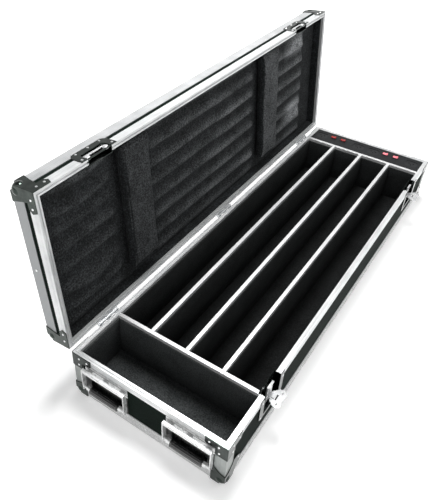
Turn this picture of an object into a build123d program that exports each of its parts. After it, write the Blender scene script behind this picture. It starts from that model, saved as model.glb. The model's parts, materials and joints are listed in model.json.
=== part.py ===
from build123d import *
import os
from math import sqrt

os.makedirs("parts", exist_ok=True)

# Long flight case with a hinged lid, rebuilt from a photograph.
# +X runs along the case from the handle end to the power panel end.
# The latches are on the -Y side, the hinges on the +Y side, and +Z is up.
# The origin is the centre of the floor panel's underside.
# Everything is in millimetres.

# Driving dimensions of the box
case_length = 1280.0
case_width = 400.0
base_height = 133.5
lid_height = 62.5
panel_thickness = 9.0
skin = 1.5
angle_leg = 30.0
corner_angle_leg = 28.0
edge_radius = 1.0
fit_gap = 0.3

# Rim extrusions where the two halves meet
base_rim_leg = 17.0
lid_rim_leg = 22.0
rim_inner_leg = 9.0
base_rim_web = 2.0
lid_rim_web = 4.0
tongue_width = 3.0
tongue_height = 2.2
tongue_inset = 4.5
tongue_clearance = 0.6
rim_groove_depth = 0.4
rim_groove_width = 0.8
rim_groove_pitch = 3.0
angle_grooves = 5
angle_groove_pitch = 4.5

# Lid hinges
lid_open_angle = 95.35
hinge_offset = 5.5
hinge_inset = 125.0
hinge_width = 68.0
hinge_leaf_height = 28.5
hinge_leaf_thickness = 2.0
hinge_pin_radius = 2.5
hinge_knuckle_radius = 4.5
hinge_knuckles = 5
running_clearance = 0.05

# Ball corners
ball_radius = 15.5
ball_centre = 11.5
corner_plate = 1.5
base_corner_side = 33.0
base_corner_lobe = 58.0
base_corner_foot = 29.0
base_corner_bend = 7.0
lid_corner_side = 36.0
lid_corner_arm = 50.0

# Corner braces under the base rim
brace_arm = 52.0
brace_arm_height = 21.0
brace_leg = 27.0
brace_height = 40.0

# Rivets
rivet_radius = 2.6
rivet_height = 1.4
rivet_edge_gap = 7.5
brace_rivet_in = 10.5
corner_rivet_in = 47.0
angle_rivet_pitch = 150.0
angle_rivets = 7
keeper_rivet_side = 35.0
keeper_rivet_rise = 34.0

# Compartments
near_divider_inset = 148.0
far_divider_inset = 88.0
divider_thickness = 6.5
channel_dividers = 3
divider_drop = 1.0
cap_width = 9.5
cap_leg = 9.0
cap_thickness = 1.0
wall_foam = 4.0
rail_foam_width = 16.0
rail_foam_height = 66.0
rail_foam_inset = 18.0
soft_gap = 0.3

# Power panel
power_panel_thickness = 3.0
power_panel_drop = 1.0
batten_width = 9.0
batten_height = 14.0
batten_inset = 20.0
socket_inset = 46.0
switch_inset = 39.0
socket_left_margin = 28.0
socket_right_margin = 31.0
socket_pair_half = 27.0
switch_pitch = 35.0
switch_left_share = 0.7353
switch_right_share = 0.2903
socket_width = 40.0
socket_depth = 36.0
socket_corner = 12.0
socket_sink = 1.2
socket_body_depth = 26.0
socket_pin_pitch = 13.7
socket_earth_offset = 10.3
slot_length = 7.6
slot_width = 2.4
slot_tilt = 30.0
switch_width = 21.0
switch_depth = 15.0
switch_bezel = 1.2
switch_wall = 1.1
switch_bezel_height = 1.6
switch_body_depth = 22.0
rocker_gap = 0.35
rocker_tilt = 8.0
rocker_pivot_radius = 1.2
rocker_pivot_drop = 1.0

# Spring loaded handles
handle_left_gap = 6.5
handle_right_gap = 0.5
handle_half_width = 59.0
handle_plate_thickness = 1.2
cup_half_width = 45.0
cup_bottom = 34.0
cup_top = 93.0
cup_wall = 1.2
cup_corner = 12.0
handle_pin_out = 8.8
handle_pin_z = 102.0
handle_pin_radius = 2.5
handle_knuckle_radius = 4.3
handle_knuckle_length = 14.0
handle_reach = 14.5
handle_shelf_rise = 4.8
handle_plate_gauge = 2.2
handle_arm_depth = 11.0
handle_lip = 6.5
grip_drop = 54.0
grip_radius = 9.2
grip_half_length = 40.0
grip_bar_radius = 3.5
ferrule_radius = 6.0
ferrule_length = 9.0

# Butterfly latches
latch_inset = 180.0
latch_flange_width = 104.0
latch_flange_height = 71.0
latch_flange_gauge = 1.2
latch_flange_corner = 10.0
latch_cup_width = 69.0
latch_cup_height = 63.0
latch_cup_depth = 15.0
latch_cup_corner = 8.0
spindle_drop = 33.0
spindle_radius = 5.0
spindle_head_radius = 8.5
wing_length = 49.0
wing_width = 27.0
wing_pin_out = 1.0
wing_tail = 1.0
wing_gauge = 2.0
wing_hole_pitch = 32.0
wing_hole_length = 7.0
wing_hole_width = 4.4
wing_slot_length = 15.0
wing_slot_width = 6.0
wing_pin_radius = 1.5
hook_width = 24.0
hook_gauge = 2.5
hook_travel = 10.0
hook_lip = 2.3
hook_tail = 20.0
hook_window_width = 11.0
hook_window_height = 8.0
keeper_height = 40.0
keeper_cup_height = 25.0
keeper_bar_rise = 5.0
keeper_bar_height = 4.0
keeper_bar_gauge = 2.0

# Lid foam
lid_ceiling_foam = 22.0
lid_wall_foam = 5.0
pad_face_rise = 3.0
pad_near_inset = 292.0
pad_far_inset = 359.0
pad_width = 104.0
pad_front_gap = 2.0
pad_back_gap = 39.4
bulge_rows = 6
bulge_height = 4.0

# Values that follow from the driving dimensions
half_length = case_length / 2
half_width = case_width / 2
rim_depth = skin + panel_thickness + skin
inner_x = half_length - rim_depth
inner_y = half_width - rim_depth
panel_face_x = half_length - skin
panel_face_y = half_width - skin
panel_back_x = panel_face_x - panel_thickness
panel_back_y = panel_face_y - panel_thickness
parting_z = base_height
lid_bottom_z = parting_z + fit_gap
lid_panel_back_z = parting_z + lid_height - panel_thickness
hinge_y = half_width + hinge_offset
hinge_line = Axis((0, hinge_y, parting_z), (1, 0, 0))
divider_top = parting_z - divider_drop
divider_bottom = panel_thickness
near_divider_x = near_divider_inset - half_length
far_divider_x = half_length - far_divider_inset
socket_x = half_length - socket_inset
switch_x = half_length - switch_inset
latch_pitch = case_length - 2 * latch_inset
hinge_pitch = half_length - hinge_inset
pad_near_x = pad_near_inset - half_length
pad_far_x = half_length - pad_far_inset
pad_length = 2 * panel_back_y - lid_wall_foam - 2 * soft_gap - pad_front_gap - pad_back_gap
handle_room_y = half_width - corner_angle_leg - handle_half_width
left_handle_y = handle_room_y - handle_left_gap
right_handle_y = handle_right_gap - handle_room_y
handle_plate_bottom = angle_leg + fit_gap
first_socket_y = inner_y - socket_left_margin
last_socket_y = socket_right_margin - inner_y
socket_rows = (first_socket_y, socket_pair_half, -socket_pair_half, last_socket_y)


def block(x0, x1, y0, y1, z0, z1):
    """A box given by its six faces."""
    centre = Pos((x0 + x1) / 2, (y0 + y1) / 2, (z0 + z1) / 2)
    return centre * Box(abs(x1 - x0), abs(y1 - y0), abs(z1 - z0))


def rod(radius, length, place):
    """A cylinder along the local Z of a place."""
    return place * Cylinder(radius, length)


def along_x(x, y, z):
    return Pos(x, y, z) * Rot(0, 90, 0)


def along_y(x, y, z):
    return Pos(x, y, z) * Rot(90, 0, 0)


def save(name, *solids):
    """Writes one node, as one solid or as a group of separate solids."""
    loose = []
    for item in solids:
        loose.extend(item.solids())
    shape = loose[0] if len(loose) == 1 else Compound(children=loose)
    export_step(shape, "parts/" + name + ".step")


def opened(shape):
    """Swings a lid piece from closed to its open rest pose."""
    return shape.rotate(hinge_line, -lid_open_angle)


def four_sides(long_bar, short_bar, z):
    """Places a bar along each side of the case, outer face outwards."""
    return [
        Pos(0, -half_width, z) * long_bar,
        Pos(0, half_width, z) * Rot(0, 0, 180) * long_bar,
        Pos(-half_length, 0, z) * Rot(0, 0, -90) * short_bar,
        Pos(half_length, 0, z) * Rot(0, 0, 90) * short_bar,
    ]


def rect(u0, u1, v0, v1):
    return Pos((u0 + u1) / 2, (v0 + v1) / 2) * Rectangle(u1 - u0, v1 - v0)


def mitred_bar(profile, length, depth):
    """Extrudes a profile along X and cuts both ends at 45 degrees."""
    bar = extrude(Plane.YZ * profile, amount=length / 2, both=True)
    half = length / 2
    plan = Polyline((-half, 0), (half, 0), (half - depth, depth), (depth - half, depth), close=True)
    wedge = extrude(make_face(plan), amount=2 * angle_leg, both=True)
    return bar & wedge


# Ball corners, built at the corner nearest to the viewer's left and mirrored round the box

def corner_mask():
    """What the extrusions and panels lose so that they fit inside a ball."""
    reach = 4 * corner_plate
    octant = block(-reach, ball_centre, -reach, ball_centre, -reach, ball_centre)
    hollow = Pos(ball_centre, ball_centre, ball_centre) * Sphere(ball_radius - corner_plate)
    return octant, hollow


def corner_cutter():
    octant, hollow = corner_mask()
    return octant - hollow


def ball_shell(plates, inside):
    """Joins the plates to the pressed ball and hollows both."""
    octant, hollow = corner_mask()
    ball = Pos(ball_centre, ball_centre, ball_centre) * Sphere(ball_radius)
    outside_ball = octant - ball
    shell = (plates - outside_ball) + ball
    shell = shell - (inside - octant)
    return shell - (hollow & octant)


def lobed_plate():
    """Outline of a base corner's side plate: one lobe between two scoops over the angles' legs."""
    s = base_corner_side
    far = base_corner_lobe
    bend = base_corner_bend
    edge = [
        Line((0, 0), (s, 0)),
        ThreePointArc((s, 0), (s + bend, angle_leg * 0.6), (far, angle_leg)),
        ThreePointArc((far, angle_leg), (far - bend, far - bend), (angle_leg, far)),
        ThreePointArc((angle_leg, far), (angle_leg * 0.6, s + bend), (0, s)),
        Line((0, s), (0, 0)),
    ]
    return make_face(edge)


def bottom_plate(side):
    corner = 10.0
    plate = Pos(side / 2, side / 2) * Rectangle(side, side)
    far = plate.vertices().sort_by_distance((side, side, 0))[0]
    return fillet(far, corner)


def plate_on_end(outline):
    """Lifts an outline onto the local x=0 face, thickened outwards."""
    return extrude(Plane.YZ * outline, amount=-corner_plate)


def plate_on_front(outline):
    """Lifts an outline onto the local y=0 face, thickened outwards."""
    return extrude(Plane.XZ * outline, amount=corner_plate)


def corner_edges(height, side):
    """The folded edges that join the three plates outside the skin."""
    c = corner_plate
    upright = block(-c, 0, -c, 0, 0, height)
    along = block(0, side, -c, 0, -c, 0)
    across = block(-c, 0, 0, side, -c, 0)
    return upright + along + across + block(-c, 0, -c, 0, -c, 0)


def base_ball_corner():
    """Local corner at the origin, with the case in +X +Y +Z of it."""
    side = base_corner_side
    far = base_corner_lobe
    deep = 3 * far
    beside_handle = block(-deep, deep, corner_angle_leg - 0.5, deep, angle_leg, deep)
    beside_handle += block(-deep, deep, side, deep, -deep, deep)
    plates = plate_on_end(lobed_plate()) - beside_handle
    plates += plate_on_front(lobed_plate())
    plates += extrude(bottom_plate(base_corner_foot), amount=-corner_plate)
    plates += corner_edges(side, side)
    return ball_shell(plates, block(0, deep, 0, deep, 0, deep))


def lid_plate():
    """Outline of a lid corner's side plate with its arm along the rim, measured up from the rim."""
    total = lid_height + skin - fit_gap
    s = lid_corner_side
    arm_top = lid_rim_leg
    waist = s * 0.86
    edge = [
        Line((0, 1.0), (lid_corner_arm - 5.0, 1.0)),
        Line((lid_corner_arm - 5.0, 1.0), (lid_corner_arm, arm_top - 9.0)),
        Line((lid_corner_arm, arm_top - 9.0), (lid_corner_arm - 8.0, arm_top)),
        Line((lid_corner_arm - 8.0, arm_top), (waist - 4.0, arm_top)),
        ThreePointArc((waist - 4.0, arm_top), (waist - 1.0, total * 0.62), (s, total)),
        Line((s, total), (0, total)),
        Line((0, total), (0, 1.0)),
    ]
    return make_face(edge)


def lid_ball_corner():
    """Local corner upside down: the lid's outer top corner is at the origin and +Z runs to the rim."""
    total = lid_height + skin - fit_gap
    side = lid_corner_side
    flip = Pos(0, total) * mirror(lid_plate(), Plane.XZ)
    plates = plate_on_end(flip) + plate_on_front(flip)
    plates += extrude(bottom_plate(side), amount=-corner_plate)
    plates += corner_edges(total - 1.0, side)
    deep = 3 * total
    return ball_shell(plates, block(0, deep, 0, deep, 0, deep))


def at_four_corners(piece, z, upside_down=False):
    """Mirrors a corner piece to the four corners at one height."""
    if upside_down:
        piece = mirror(piece, Plane.XY)
    placed = Pos(-half_length, -half_width, z) * piece
    across = mirror(placed, Plane.XZ)
    return [placed, across, mirror(placed, Plane.YZ), mirror(across, Plane.YZ)]


# Panels of the base

def base_panels():
    cutters = at_four_corners(corner_cutter(), 0)
    wall_top = parting_z - base_rim_web
    floor_panel = block(-panel_face_x, panel_face_x, -panel_face_y, panel_face_y, skin, panel_thickness)
    floor_panel += block(angle_leg - half_length, half_length - angle_leg, angle_leg - half_width,
                         half_width - angle_leg, 0, skin)
    front = block(-panel_face_x, panel_face_x, -panel_face_y, -panel_back_y, panel_thickness, wall_top)
    back = block(-panel_face_x, panel_face_x, panel_back_y, panel_face_y, panel_thickness, wall_top)
    near = block(-panel_face_x, -panel_back_x, -panel_back_y, panel_back_y, panel_thickness, wall_top)
    far = block(panel_back_x, panel_face_x, -panel_back_y, panel_back_y, panel_thickness, wall_top)
    for side in (-1, 1):
        front -= latch_cup_hole(side * latch_pitch / 2)
        for hole in handle_cup_holes():
            near -= hole
            far -= hole
    trimmed = []
    for panel in (floor_panel, front, back, near, far):
        for cutter in cutters:
            panel -= cutter
        trimmed.append(panel)
    save("floor_panel", trimmed[0])
    save("front_panel", trimmed[1])
    save("back_panel", trimmed[2])
    save("end_panels", trimmed[3], trimmed[4])


def angle_profile(leg, radius):
    """An angle extrusion in section: outer corner at the origin, legs inwards and up."""
    shape = rect(0, skin, 0, leg) + rect(0, leg, 0, skin)
    outer = shape.vertices().sort_by_distance((0, 0, 0))[0]
    return fillet(outer, radius)


def ribbed_angle_profile():
    """The bottom angle, with fine grooves along its upright leg."""
    shape = angle_profile(angle_leg, edge_radius)
    first = (angle_leg - (angle_grooves - 1) * angle_groove_pitch) / 2
    for i in range(angle_grooves):
        low = first + i * angle_groove_pitch - rim_groove_width / 2
        shape -= rect(0, rim_groove_depth, low, low + rim_groove_width)
    return shape


def base_angles():
    profile = ribbed_angle_profile()
    long_bar = mitred_bar(profile, case_length, angle_leg)
    short_bar = mitred_bar(profile, case_width, angle_leg)
    bars = four_sides(long_bar, short_bar, 0)
    cutters = at_four_corners(corner_cutter(), 0)
    trimmed = []
    for bar in bars:
        for cutter in cutters:
            bar -= cutter
        trimmed.append(bar)
    save("base_bottom_angles", *trimmed)


def corner_angles():
    """Upright angles between the bottom angles and the rim."""
    low = angle_leg
    high = parting_z - base_rim_leg
    profile = angle_profile(corner_angle_leg, edge_radius)
    upright = extrude(profile, amount=high - low)
    save("base_corner_angles", *at_four_corners(upright, low))


def rim_section(leg, web):
    """Hybrid rim extrusion in section, from its mating face at v=0 over the panel."""
    shape = rect(0, skin, 0, leg) + rect(0, rim_depth, 0, web)
    shape += rect(rim_depth - skin, rim_depth, 0, rim_inner_leg)
    for step in (1, 2):
        groove_v = web + step * rim_groove_pitch
        shape -= rect(0, rim_groove_depth, groove_v, groove_v + rim_groove_width)
    return shape


def base_rim_profile():
    section = mirror(rim_section(base_rim_leg, base_rim_web), Plane.XZ)
    section += rect(tongue_inset, tongue_inset + tongue_width, 0, tongue_height)
    tips = section.vertices().filter_by(lambda v: v.Y > tongue_height / 2)
    return chamfer(tips, tongue_width / 5)


def lid_rim_profile():
    section = rim_section(lid_rim_leg, lid_rim_web)
    low = tongue_inset - tongue_clearance
    high = tongue_inset + tongue_width + tongue_clearance
    return section - rect(low, high, 0, tongue_height + tongue_clearance)


def rim_notch(width, side_y, x):
    """Gap in a rim for a latch or a hinge, on either side of the parting plane."""
    inner = side_y * (half_width - rim_depth - 1.0)
    outer = side_y * (half_width + 1.0)
    return block(x - width / 2, x + width / 2, min(inner, outer), max(inner, outer),
                 parting_z - base_height / 2, parting_z + lid_height)


def hinge_notches():
    wide = hinge_width + 2 * fit_gap
    outer = half_width + 1.0
    knuckle_side = half_width - skin
    low = parting_z - base_height / 3
    high = parting_z + lid_height / 2
    return [block(x - wide / 2, x + wide / 2, knuckle_side, outer, low, high) for x in hinge_places()]


def latch_places():
    return [-latch_pitch / 2, latch_pitch / 2]


def hinge_places():
    return [-hinge_pitch, 0.0, hinge_pitch]


def base_rim():
    profile = base_rim_profile()
    long_bar = mitred_bar(profile, case_length, rim_depth)
    short_bar = mitred_bar(profile, case_width, rim_depth)
    bars = four_sides(long_bar, short_bar, parting_z)
    for x in latch_places():
        bars[0] -= rim_notch(latch_cup_width + 2 * latch_flange_gauge, -1, x)
    for notch in hinge_notches():
        bars[1] -= notch
    save("base_rim", *bars)


def braces():
    """Folded plates over the rim corners, one arm along the rim and one leg down each face."""
    c = corner_plate
    low = -brace_height
    face = rect(0, brace_arm, -brace_arm_height, 0) + rect(0, brace_leg, low, 0)
    outline = face.vertices().filter_by(lambda v: v.X > brace_leg - 1.0 and v.Y < -1.0)
    below = -brace_arm_height - 1.0
    face = chamfer(outline.filter_by(lambda v: abs(v.X - brace_leg) > 0.1 or v.Y < below), 4.0)
    plate = extrude(Plane.YZ * face, amount=-c) + extrude(Plane.XZ * face, amount=c)
    plate += block(-c, 0, -c, 0, low, 0)
    fold = plate.edges().filter_by(Axis.Z).sort_by_distance((-c, -c, low / 2))[0]
    plate = fillet(fold, c * 0.9)
    save("rim_corner_braces", *at_four_corners(plate, parting_z))


def ball_corners():
    save("base_ball_corners", *at_four_corners(base_ball_corner(), 0))
    lid_top = parting_z + lid_height + skin
    corners = at_four_corners(lid_ball_corner(), lid_top, upside_down=True)
    save("lid_ball_corners", *[opened(corner) for corner in corners])


# Rivets, as low domes on the outside faces

def rivet():
    """A pop rivet's head on the local XY plane, facing +Z."""
    r = rivet_radius
    h = rivet_height
    line = Polyline((0, 0), (r, 0), (r, h * 0.35), (r * 0.62, h), (0, h), close=True)
    return revolve(Plane.XZ * make_face(line), Axis.Z)


def on_front(x, y, z):
    return Pos(x, y, z) * Rot(90, 0, 0)


def on_end(x, y, z):
    return Pos(x, y, z) * Rot(0, -90, 0)


def corner_rivets(spots, z_sign):
    """Rivets of one corner piece: spots are along each side face and up or down it."""
    head = rivet()
    c = corner_plate
    found = []
    for along, rise in spots:
        found.append(on_front(along, -c, z_sign * rise) * head)
        found.append(on_end(-c, along, z_sign * rise) * head)
    return found


def angle_heads(z):
    """Rivets along the bottom angles: a row on each long side and one in the middle of each end."""
    first = -angle_rivet_pitch * (angle_rivets - 1) / 2
    front = [on_front(first + i * angle_rivet_pitch, -half_width, z) * rivet() for i in range(angle_rivets)]
    back = [mirror(head, Plane.XZ) for head in front]
    end = on_end(-half_length, 0, z) * rivet()
    return front + back + [end, mirror(end, Plane.YZ)]


def base_rivets():
    heads = []
    outer = brace_arm - brace_rivet_in
    lower = brace_height - brace_rivet_in
    brace_spots = ((outer - 22.0, brace_rivet_in), (outer, brace_rivet_in), (brace_leg - 9.0, lower))
    for head in corner_rivets(brace_spots, -1):
        heads.extend(at_four_corners(head, parting_z))
    lobe_head = on_front(corner_rivet_in, -corner_plate, corner_rivet_in) * rivet()
    heads.extend(at_four_corners(lobe_head, 0))
    heads.extend(angle_heads(angle_leg / 2))
    low = latch_flange_height - rivet_edge_gap
    for x in latch_places():
        for dx in (rivet_edge_gap - latch_flange_width / 2, latch_flange_width / 2 - rivet_edge_gap):
            for drop in (13.0, low):
                heads.append(on_front(x + dx, -half_width - latch_flange_gauge, parting_z - drop) * rivet())
    save("base_rivets", *heads)


def lid_rivets():
    heads = []
    lid_top = parting_z + lid_height + skin
    drop = lid_height + skin - fit_gap - lid_rim_leg / 2
    for head in corner_rivets(((18.0, drop), (38.0, drop)), 1):
        heads.extend(at_four_corners(head, lid_top, upside_down=True))
    side = latch_flange_width / 2 - rivet_edge_gap
    spots = [(dx, keeper_rivet_rise) for dx in (-keeper_rivet_side, 0.0, keeper_rivet_side)]
    spots += [(-side, rivet_edge_gap), (side, rivet_edge_gap)]
    for x in latch_places():
        for dx, rise in spots:
            heads.append(on_front(x + dx, -half_width - latch_flange_gauge, parting_z + rise) * rivet())
    end = on_end(-half_length, 0, parting_z + lid_height + skin - angle_leg / 2) * rivet()
    heads.extend([end, mirror(end, Plane.YZ)])
    save("lid_rivets", *[opened(head) for head in heads])


# Dividers with their aluminium capping

def channel_lines():
    """Centre lines of the long dividers, which split the width evenly."""
    clear = 2 * inner_y - channel_dividers * divider_thickness
    channel = clear / (channel_dividers + 1)
    first = -inner_y + channel + divider_thickness / 2
    return [first + i * (channel + divider_thickness) for i in range(channel_dividers)]


def dividers():
    t = divider_thickness / 2
    wall_y = panel_back_y
    for name, x in (("near_divider", near_divider_x), ("far_divider", far_divider_x)):
        board = block(x - t, x + t, -wall_y, wall_y, divider_bottom, divider_top - cap_thickness)
        save(name, clear_of_latches(board - rim_leg_relief(x)))
    low = near_divider_x + t
    high = far_divider_x - t
    boards = []
    for y in channel_lines():
        board = block(low, high, y - t, y + t, divider_bottom, divider_top - cap_thickness)
        boards.append(board - cross_cap_relief(near_divider_x, y) - cross_cap_relief(far_divider_x, y))
    save("channel_dividers", *boards)


def rim_leg_relief(x):
    """Cross dividers stop at the inner rim leg near their top edge."""
    w = cap_width
    side = block(x - w, x + w, inner_y, panel_back_y + 1, parting_z - rim_inner_leg, parting_z)
    return side + mirror(side, Plane.XZ)


def cross_cap_relief(x, y):
    """Room in a long divider's end for the side of a cross divider's cap."""
    half = cap_width / 2
    return block(x - half, x + half, y - cap_width, y + cap_width, divider_top - cap_leg, parting_z)


def clear_of_latches(shape):
    """Takes the latch cups' room out of anything that stands behind the front panel."""
    for x in latch_places():
        shape -= latch_cup_room(x)
    return shape


def cap_section():
    """Channel capping in section, open at the bottom, with its top at v=0."""
    half = cap_width / 2
    inner = divider_thickness / 2
    shape = rect(-half, half, -cap_thickness, 0)
    for s in (-1, 1):
        wall = rect(min(s * inner, s * half), max(s * inner, s * half), -cap_leg, 0)
        shape += wall
    tips = shape.vertices().filter_by(lambda v: v.Y > -0.1)
    return fillet(tips, cap_thickness * 0.6)


def divider_caps():
    section = cap_section()
    half = cap_width / 2
    caps = []
    for x in (near_divider_x, far_divider_x):
        cross = Pos(x, 0, divider_top) * extrude(Plane.XZ * section, amount=inner_y, both=True)
        caps.append(clear_of_latches(cross))
    low = near_divider_x + half
    high = far_divider_x - half
    for y in channel_lines():
        bar = extrude(Plane.YZ * section, amount=(high - low) / 2, both=True)
        caps.append(Pos((low + high) / 2, y, divider_top) * bar)
    save("divider_caps", *caps)


# Soft linings of the base

def lining_sheets(x0, x1, y0, y1, z1):
    """Foam sheets of one compartment: its floor, then two long walls and two end walls."""
    g = soft_gap
    t = wall_foam
    low = panel_thickness + g
    wall_low = low + t + g
    sheets = [block(x0 + g, x1 - g, y0 + g, y1 - g, low, low + t)]
    for y in (y0 + g, y1 - g - t):
        sheets.append(block(x0 + g, x1 - g, y, y + t, wall_low, z1))
    for x in (x0 + g, x1 - g - t):
        sheets.append(block(x, x + t, y0 + 2 * g + t, y1 - 2 * g - t, wall_low, z1))
    return [clear_of_latches(sheet) for sheet in sheets]


def base_lining():
    top = min(parting_z - rim_inner_leg, divider_top - cap_leg) - soft_gap
    t = divider_thickness / 2
    sheets = lining_sheets(-panel_back_x, near_divider_x - t, -panel_back_y, panel_back_y, top)
    lines = [-panel_back_y] + channel_lines() + [panel_back_y]
    for i in range(len(lines) - 1):
        low = lines[i] + (t if i > 0 else 0)
        high = lines[i + 1] - (t if i < channel_dividers else 0)
        sheets.extend(lining_sheets(near_divider_x + t, far_divider_x - t, low, high, top))
    save("compartment_linings", *sheets)


def channel_rails():
    """Foam rails along one side of each channel, which steady what lies in it."""
    t = divider_thickness / 2
    inset = rail_foam_inset
    low_z = panel_thickness + wall_foam + 2 * soft_gap
    rails = []
    lines = [-panel_back_y - t] + channel_lines()
    x0 = near_divider_x + t + inset
    x1 = far_divider_x - t - inset
    for y in lines:
        start = y + t + wall_foam + 2 * soft_gap
        bar = block(x0, x1, start, start + rail_foam_width, low_z, low_z + rail_foam_height)
        top = bar.edges().filter_by(Axis.X).group_by(Axis.Z)[-1]
        rails.append(clear_of_latches(fillet(top, 4.0)))
    save("channel_foam_rails", *rails)


# Power panel

def power_panel():
    t = divider_thickness / 2
    top = parting_z - power_panel_drop
    low = top - power_panel_thickness
    x0 = far_divider_x + cap_width / 2 + soft_gap
    plate = block(x0, inner_x - soft_gap, -inner_y + soft_gap, inner_y - soft_gap, low, top)
    for y in socket_rows:
        plate -= Pos(socket_x, y, 0) * socket_prism(0.0, low - 1, top + 1)
    for y in switch_rows():
        plate -= switch_block(y, switch_bezel, low - 1, top + 1)
    save("power_panel", plate)
    under_cap = divider_top - cap_leg
    under_leg = parting_z - rim_inner_leg
    near = batten(far_divider_x + t, far_divider_x + cap_width / 2, 1, low, under_cap)
    far = batten(panel_back_x, inner_x, -1, low, under_leg)
    save("power_panel_battens", near, far)


def switch_rows():
    """Centre lines of the switches, a pair in the gap between each outer and inner socket."""
    inner_edge = socket_pair_half + socket_width / 2
    rows = []
    pairs = ((first_socket_y, switch_left_share, 1), (-last_socket_y, switch_right_share, -1))
    for outer, share, side in pairs:
        spare = outer - socket_width / 2 - inner_edge - switch_pitch - switch_width
        first = inner_edge + share * spare + switch_width / 2
        rows.extend([side * first, side * (first + switch_pitch)])
    return sorted(rows, reverse=True)


def batten(wall_x, edge_x, sign, top, under):
    """Wooden rest under the power panel, rebated to pass under a cap or a rim leg."""
    end = inner_y - batten_inset
    tip = edge_x + sign * batten_width
    shape = block(min(edge_x, tip), max(edge_x, tip), -end, end, top - batten_height, top)
    return shape + block(min(wall_x, tip), max(wall_x, tip), -end, end, top - batten_height, under)


def socket_prism(inset, low, high):
    outline = RectangleRounded(socket_depth - 2 * inset, socket_width - 2 * inset, socket_corner - inset)
    return Pos(0, 0, low) * extrude(outline, amount=high - low)


def pin_slot(x, y, angle, low, high):
    slot = Pos(x, y) * Rot(0, 0, angle) * Rectangle(slot_width, slot_length)
    return Pos(0, 0, low) * extrude(slot, amount=high - low)


def socket_module(y):
    """A flush socket outlet with two slanted slots and an earth slot below them."""
    top = parting_z - power_panel_drop - socket_sink
    body = socket_prism(0.0, top - 4.0, top)
    body += socket_prism(3.0, top - socket_body_depth, top - 4.0)
    low = top - 9.0
    shift = socket_earth_offset / 3
    half = socket_pin_pitch / 2
    body -= pin_slot(shift, half, slot_tilt, low, top + 1)
    body -= pin_slot(shift, -half, -slot_tilt, low, top + 1)
    earth = Pos(shift - socket_earth_offset, 0) * Rectangle(slot_length, slot_width)
    body -= Pos(0, 0, low) * extrude(earth, amount=top + 1 - low)
    return Pos(socket_x, y, 0) * body


def switch_block(y, inset, low, high):
    """A block with a switch's outline, shrunk by an inset."""
    d = switch_depth / 2 - inset
    w = switch_width / 2 - inset
    return block(switch_x - d, switch_x + d, y - w, y + w, low, high)


def switch_housing(y):
    """Snap-in switch: a bezel on the panel and an open box below, with pivot lugs."""
    top = parting_z - power_panel_drop
    low = top - switch_body_depth
    wall = switch_bezel + switch_wall
    rim = switch_block(y, 0.0, top, top + switch_bezel_height)
    rim = chamfer(rim.edges().group_by(Axis.Z)[-1], 0.6)
    shell = rim + switch_block(y, switch_bezel, low, top)
    shell -= switch_block(y, wall, low + 2 * wall, top + 2 * switch_bezel_height)
    pivot = along_x(switch_x, y, top - rocker_pivot_drop)
    return shell + rod(rocker_pivot_radius, switch_depth - 2 * wall, pivot)


def rocker(y):
    """Rocker key in section: two sloped faces over a round pivot boss, pressed down on one side."""
    wall = switch_bezel + switch_wall + rocker_gap
    w = switch_width / 2 - wall
    d = switch_depth / 2 - wall
    dip = switch_bezel_height + 1.0
    crest = dip + 1.6
    boss = 2.2 * rocker_pivot_radius
    outline = Polyline((-w, 0.4), (-w + 0.6, crest), (0, dip), (w - 0.6, crest), (w, 0.4),
                       (boss, -1.4 * boss), (-boss, -1.4 * boss), close=True)
    key = extrude(Plane.YZ * make_face(outline), amount=d, both=True)
    key -= rod(rocker_pivot_radius + running_clearance, 4 * d, along_x(0, 0, -rocker_pivot_drop))
    pivot = Axis((0, 0, -rocker_pivot_drop), (1, 0, 0))
    return Pos(switch_x, y, parting_z - power_panel_drop) * key.rotate(pivot, -rocker_tilt)


def power_fittings():
    sockets = [socket_module(y) for y in socket_rows]
    save("socket_modules", *sockets)
    housings = [switch_housing(y) for y in switch_rows()]
    save("switch_housings", *housings)
    for number, y in enumerate(switch_rows(), 1):
        save("rocker_" + str(number), rocker(y))


# Handles, built for the near end and turned for the far end

def handle_cup(grow):
    """The pressed hollow behind a grip, as a block with rounded corners."""
    height = cup_top - cup_bottom
    outline = RectangleRounded(2 * cup_half_width + 2 * grow, height + 2 * grow, cup_corner + grow)
    face = Plane.YZ * Pos(0, (cup_top + cup_bottom) / 2) * outline
    return extrude(face, amount=panel_thickness + skin)


def handle_cup_holes():
    holes = []
    for y in handle_places():
        hole = Pos(-panel_face_x - skin, y, 0) * handle_cup(0.0)
        holes.append(hole)
        holes.append(Rot(0, 0, 180) * hole)
    return holes


def handle_places():
    return [right_handle_y, left_handle_y]


def handle_dish():
    """Flanged plate with a pressed cup, lugs and pin knuckles, at local y=0 on the near face."""
    face = -panel_face_x
    top = parting_z - base_rim_leg - fit_gap
    plate = block(face - handle_plate_thickness, face, -handle_half_width, handle_half_width,
                  handle_plate_bottom, top)
    corners = plate.edges().filter_by(Axis.X)
    plate = fillet(corners, 5.0)
    cup = Pos(face - skin, 0, 0) * handle_cup(0.0)
    cup = cup & block(face - handle_plate_thickness, face + panel_thickness, -half_width, half_width,
                      0, base_height)
    hollow = Pos(face - skin - cup_wall, 0, 0) * handle_cup(-cup_wall)
    dish = plate + cup - hollow
    for y in handle_dish_knuckles():
        dish += knuckle_lug(y, handle_knuckle_length)
    return dish - handle_pin_hole(handle_pin_radius)


def handle_dish_knuckles():
    spread = handle_half_width - handle_knuckle_length * 0.9
    return [-spread, 0.0, spread]


def handle_bail_knuckles():
    spread = (handle_half_width - handle_knuckle_length * 0.9) / 2
    return [-spread, spread]


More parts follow.
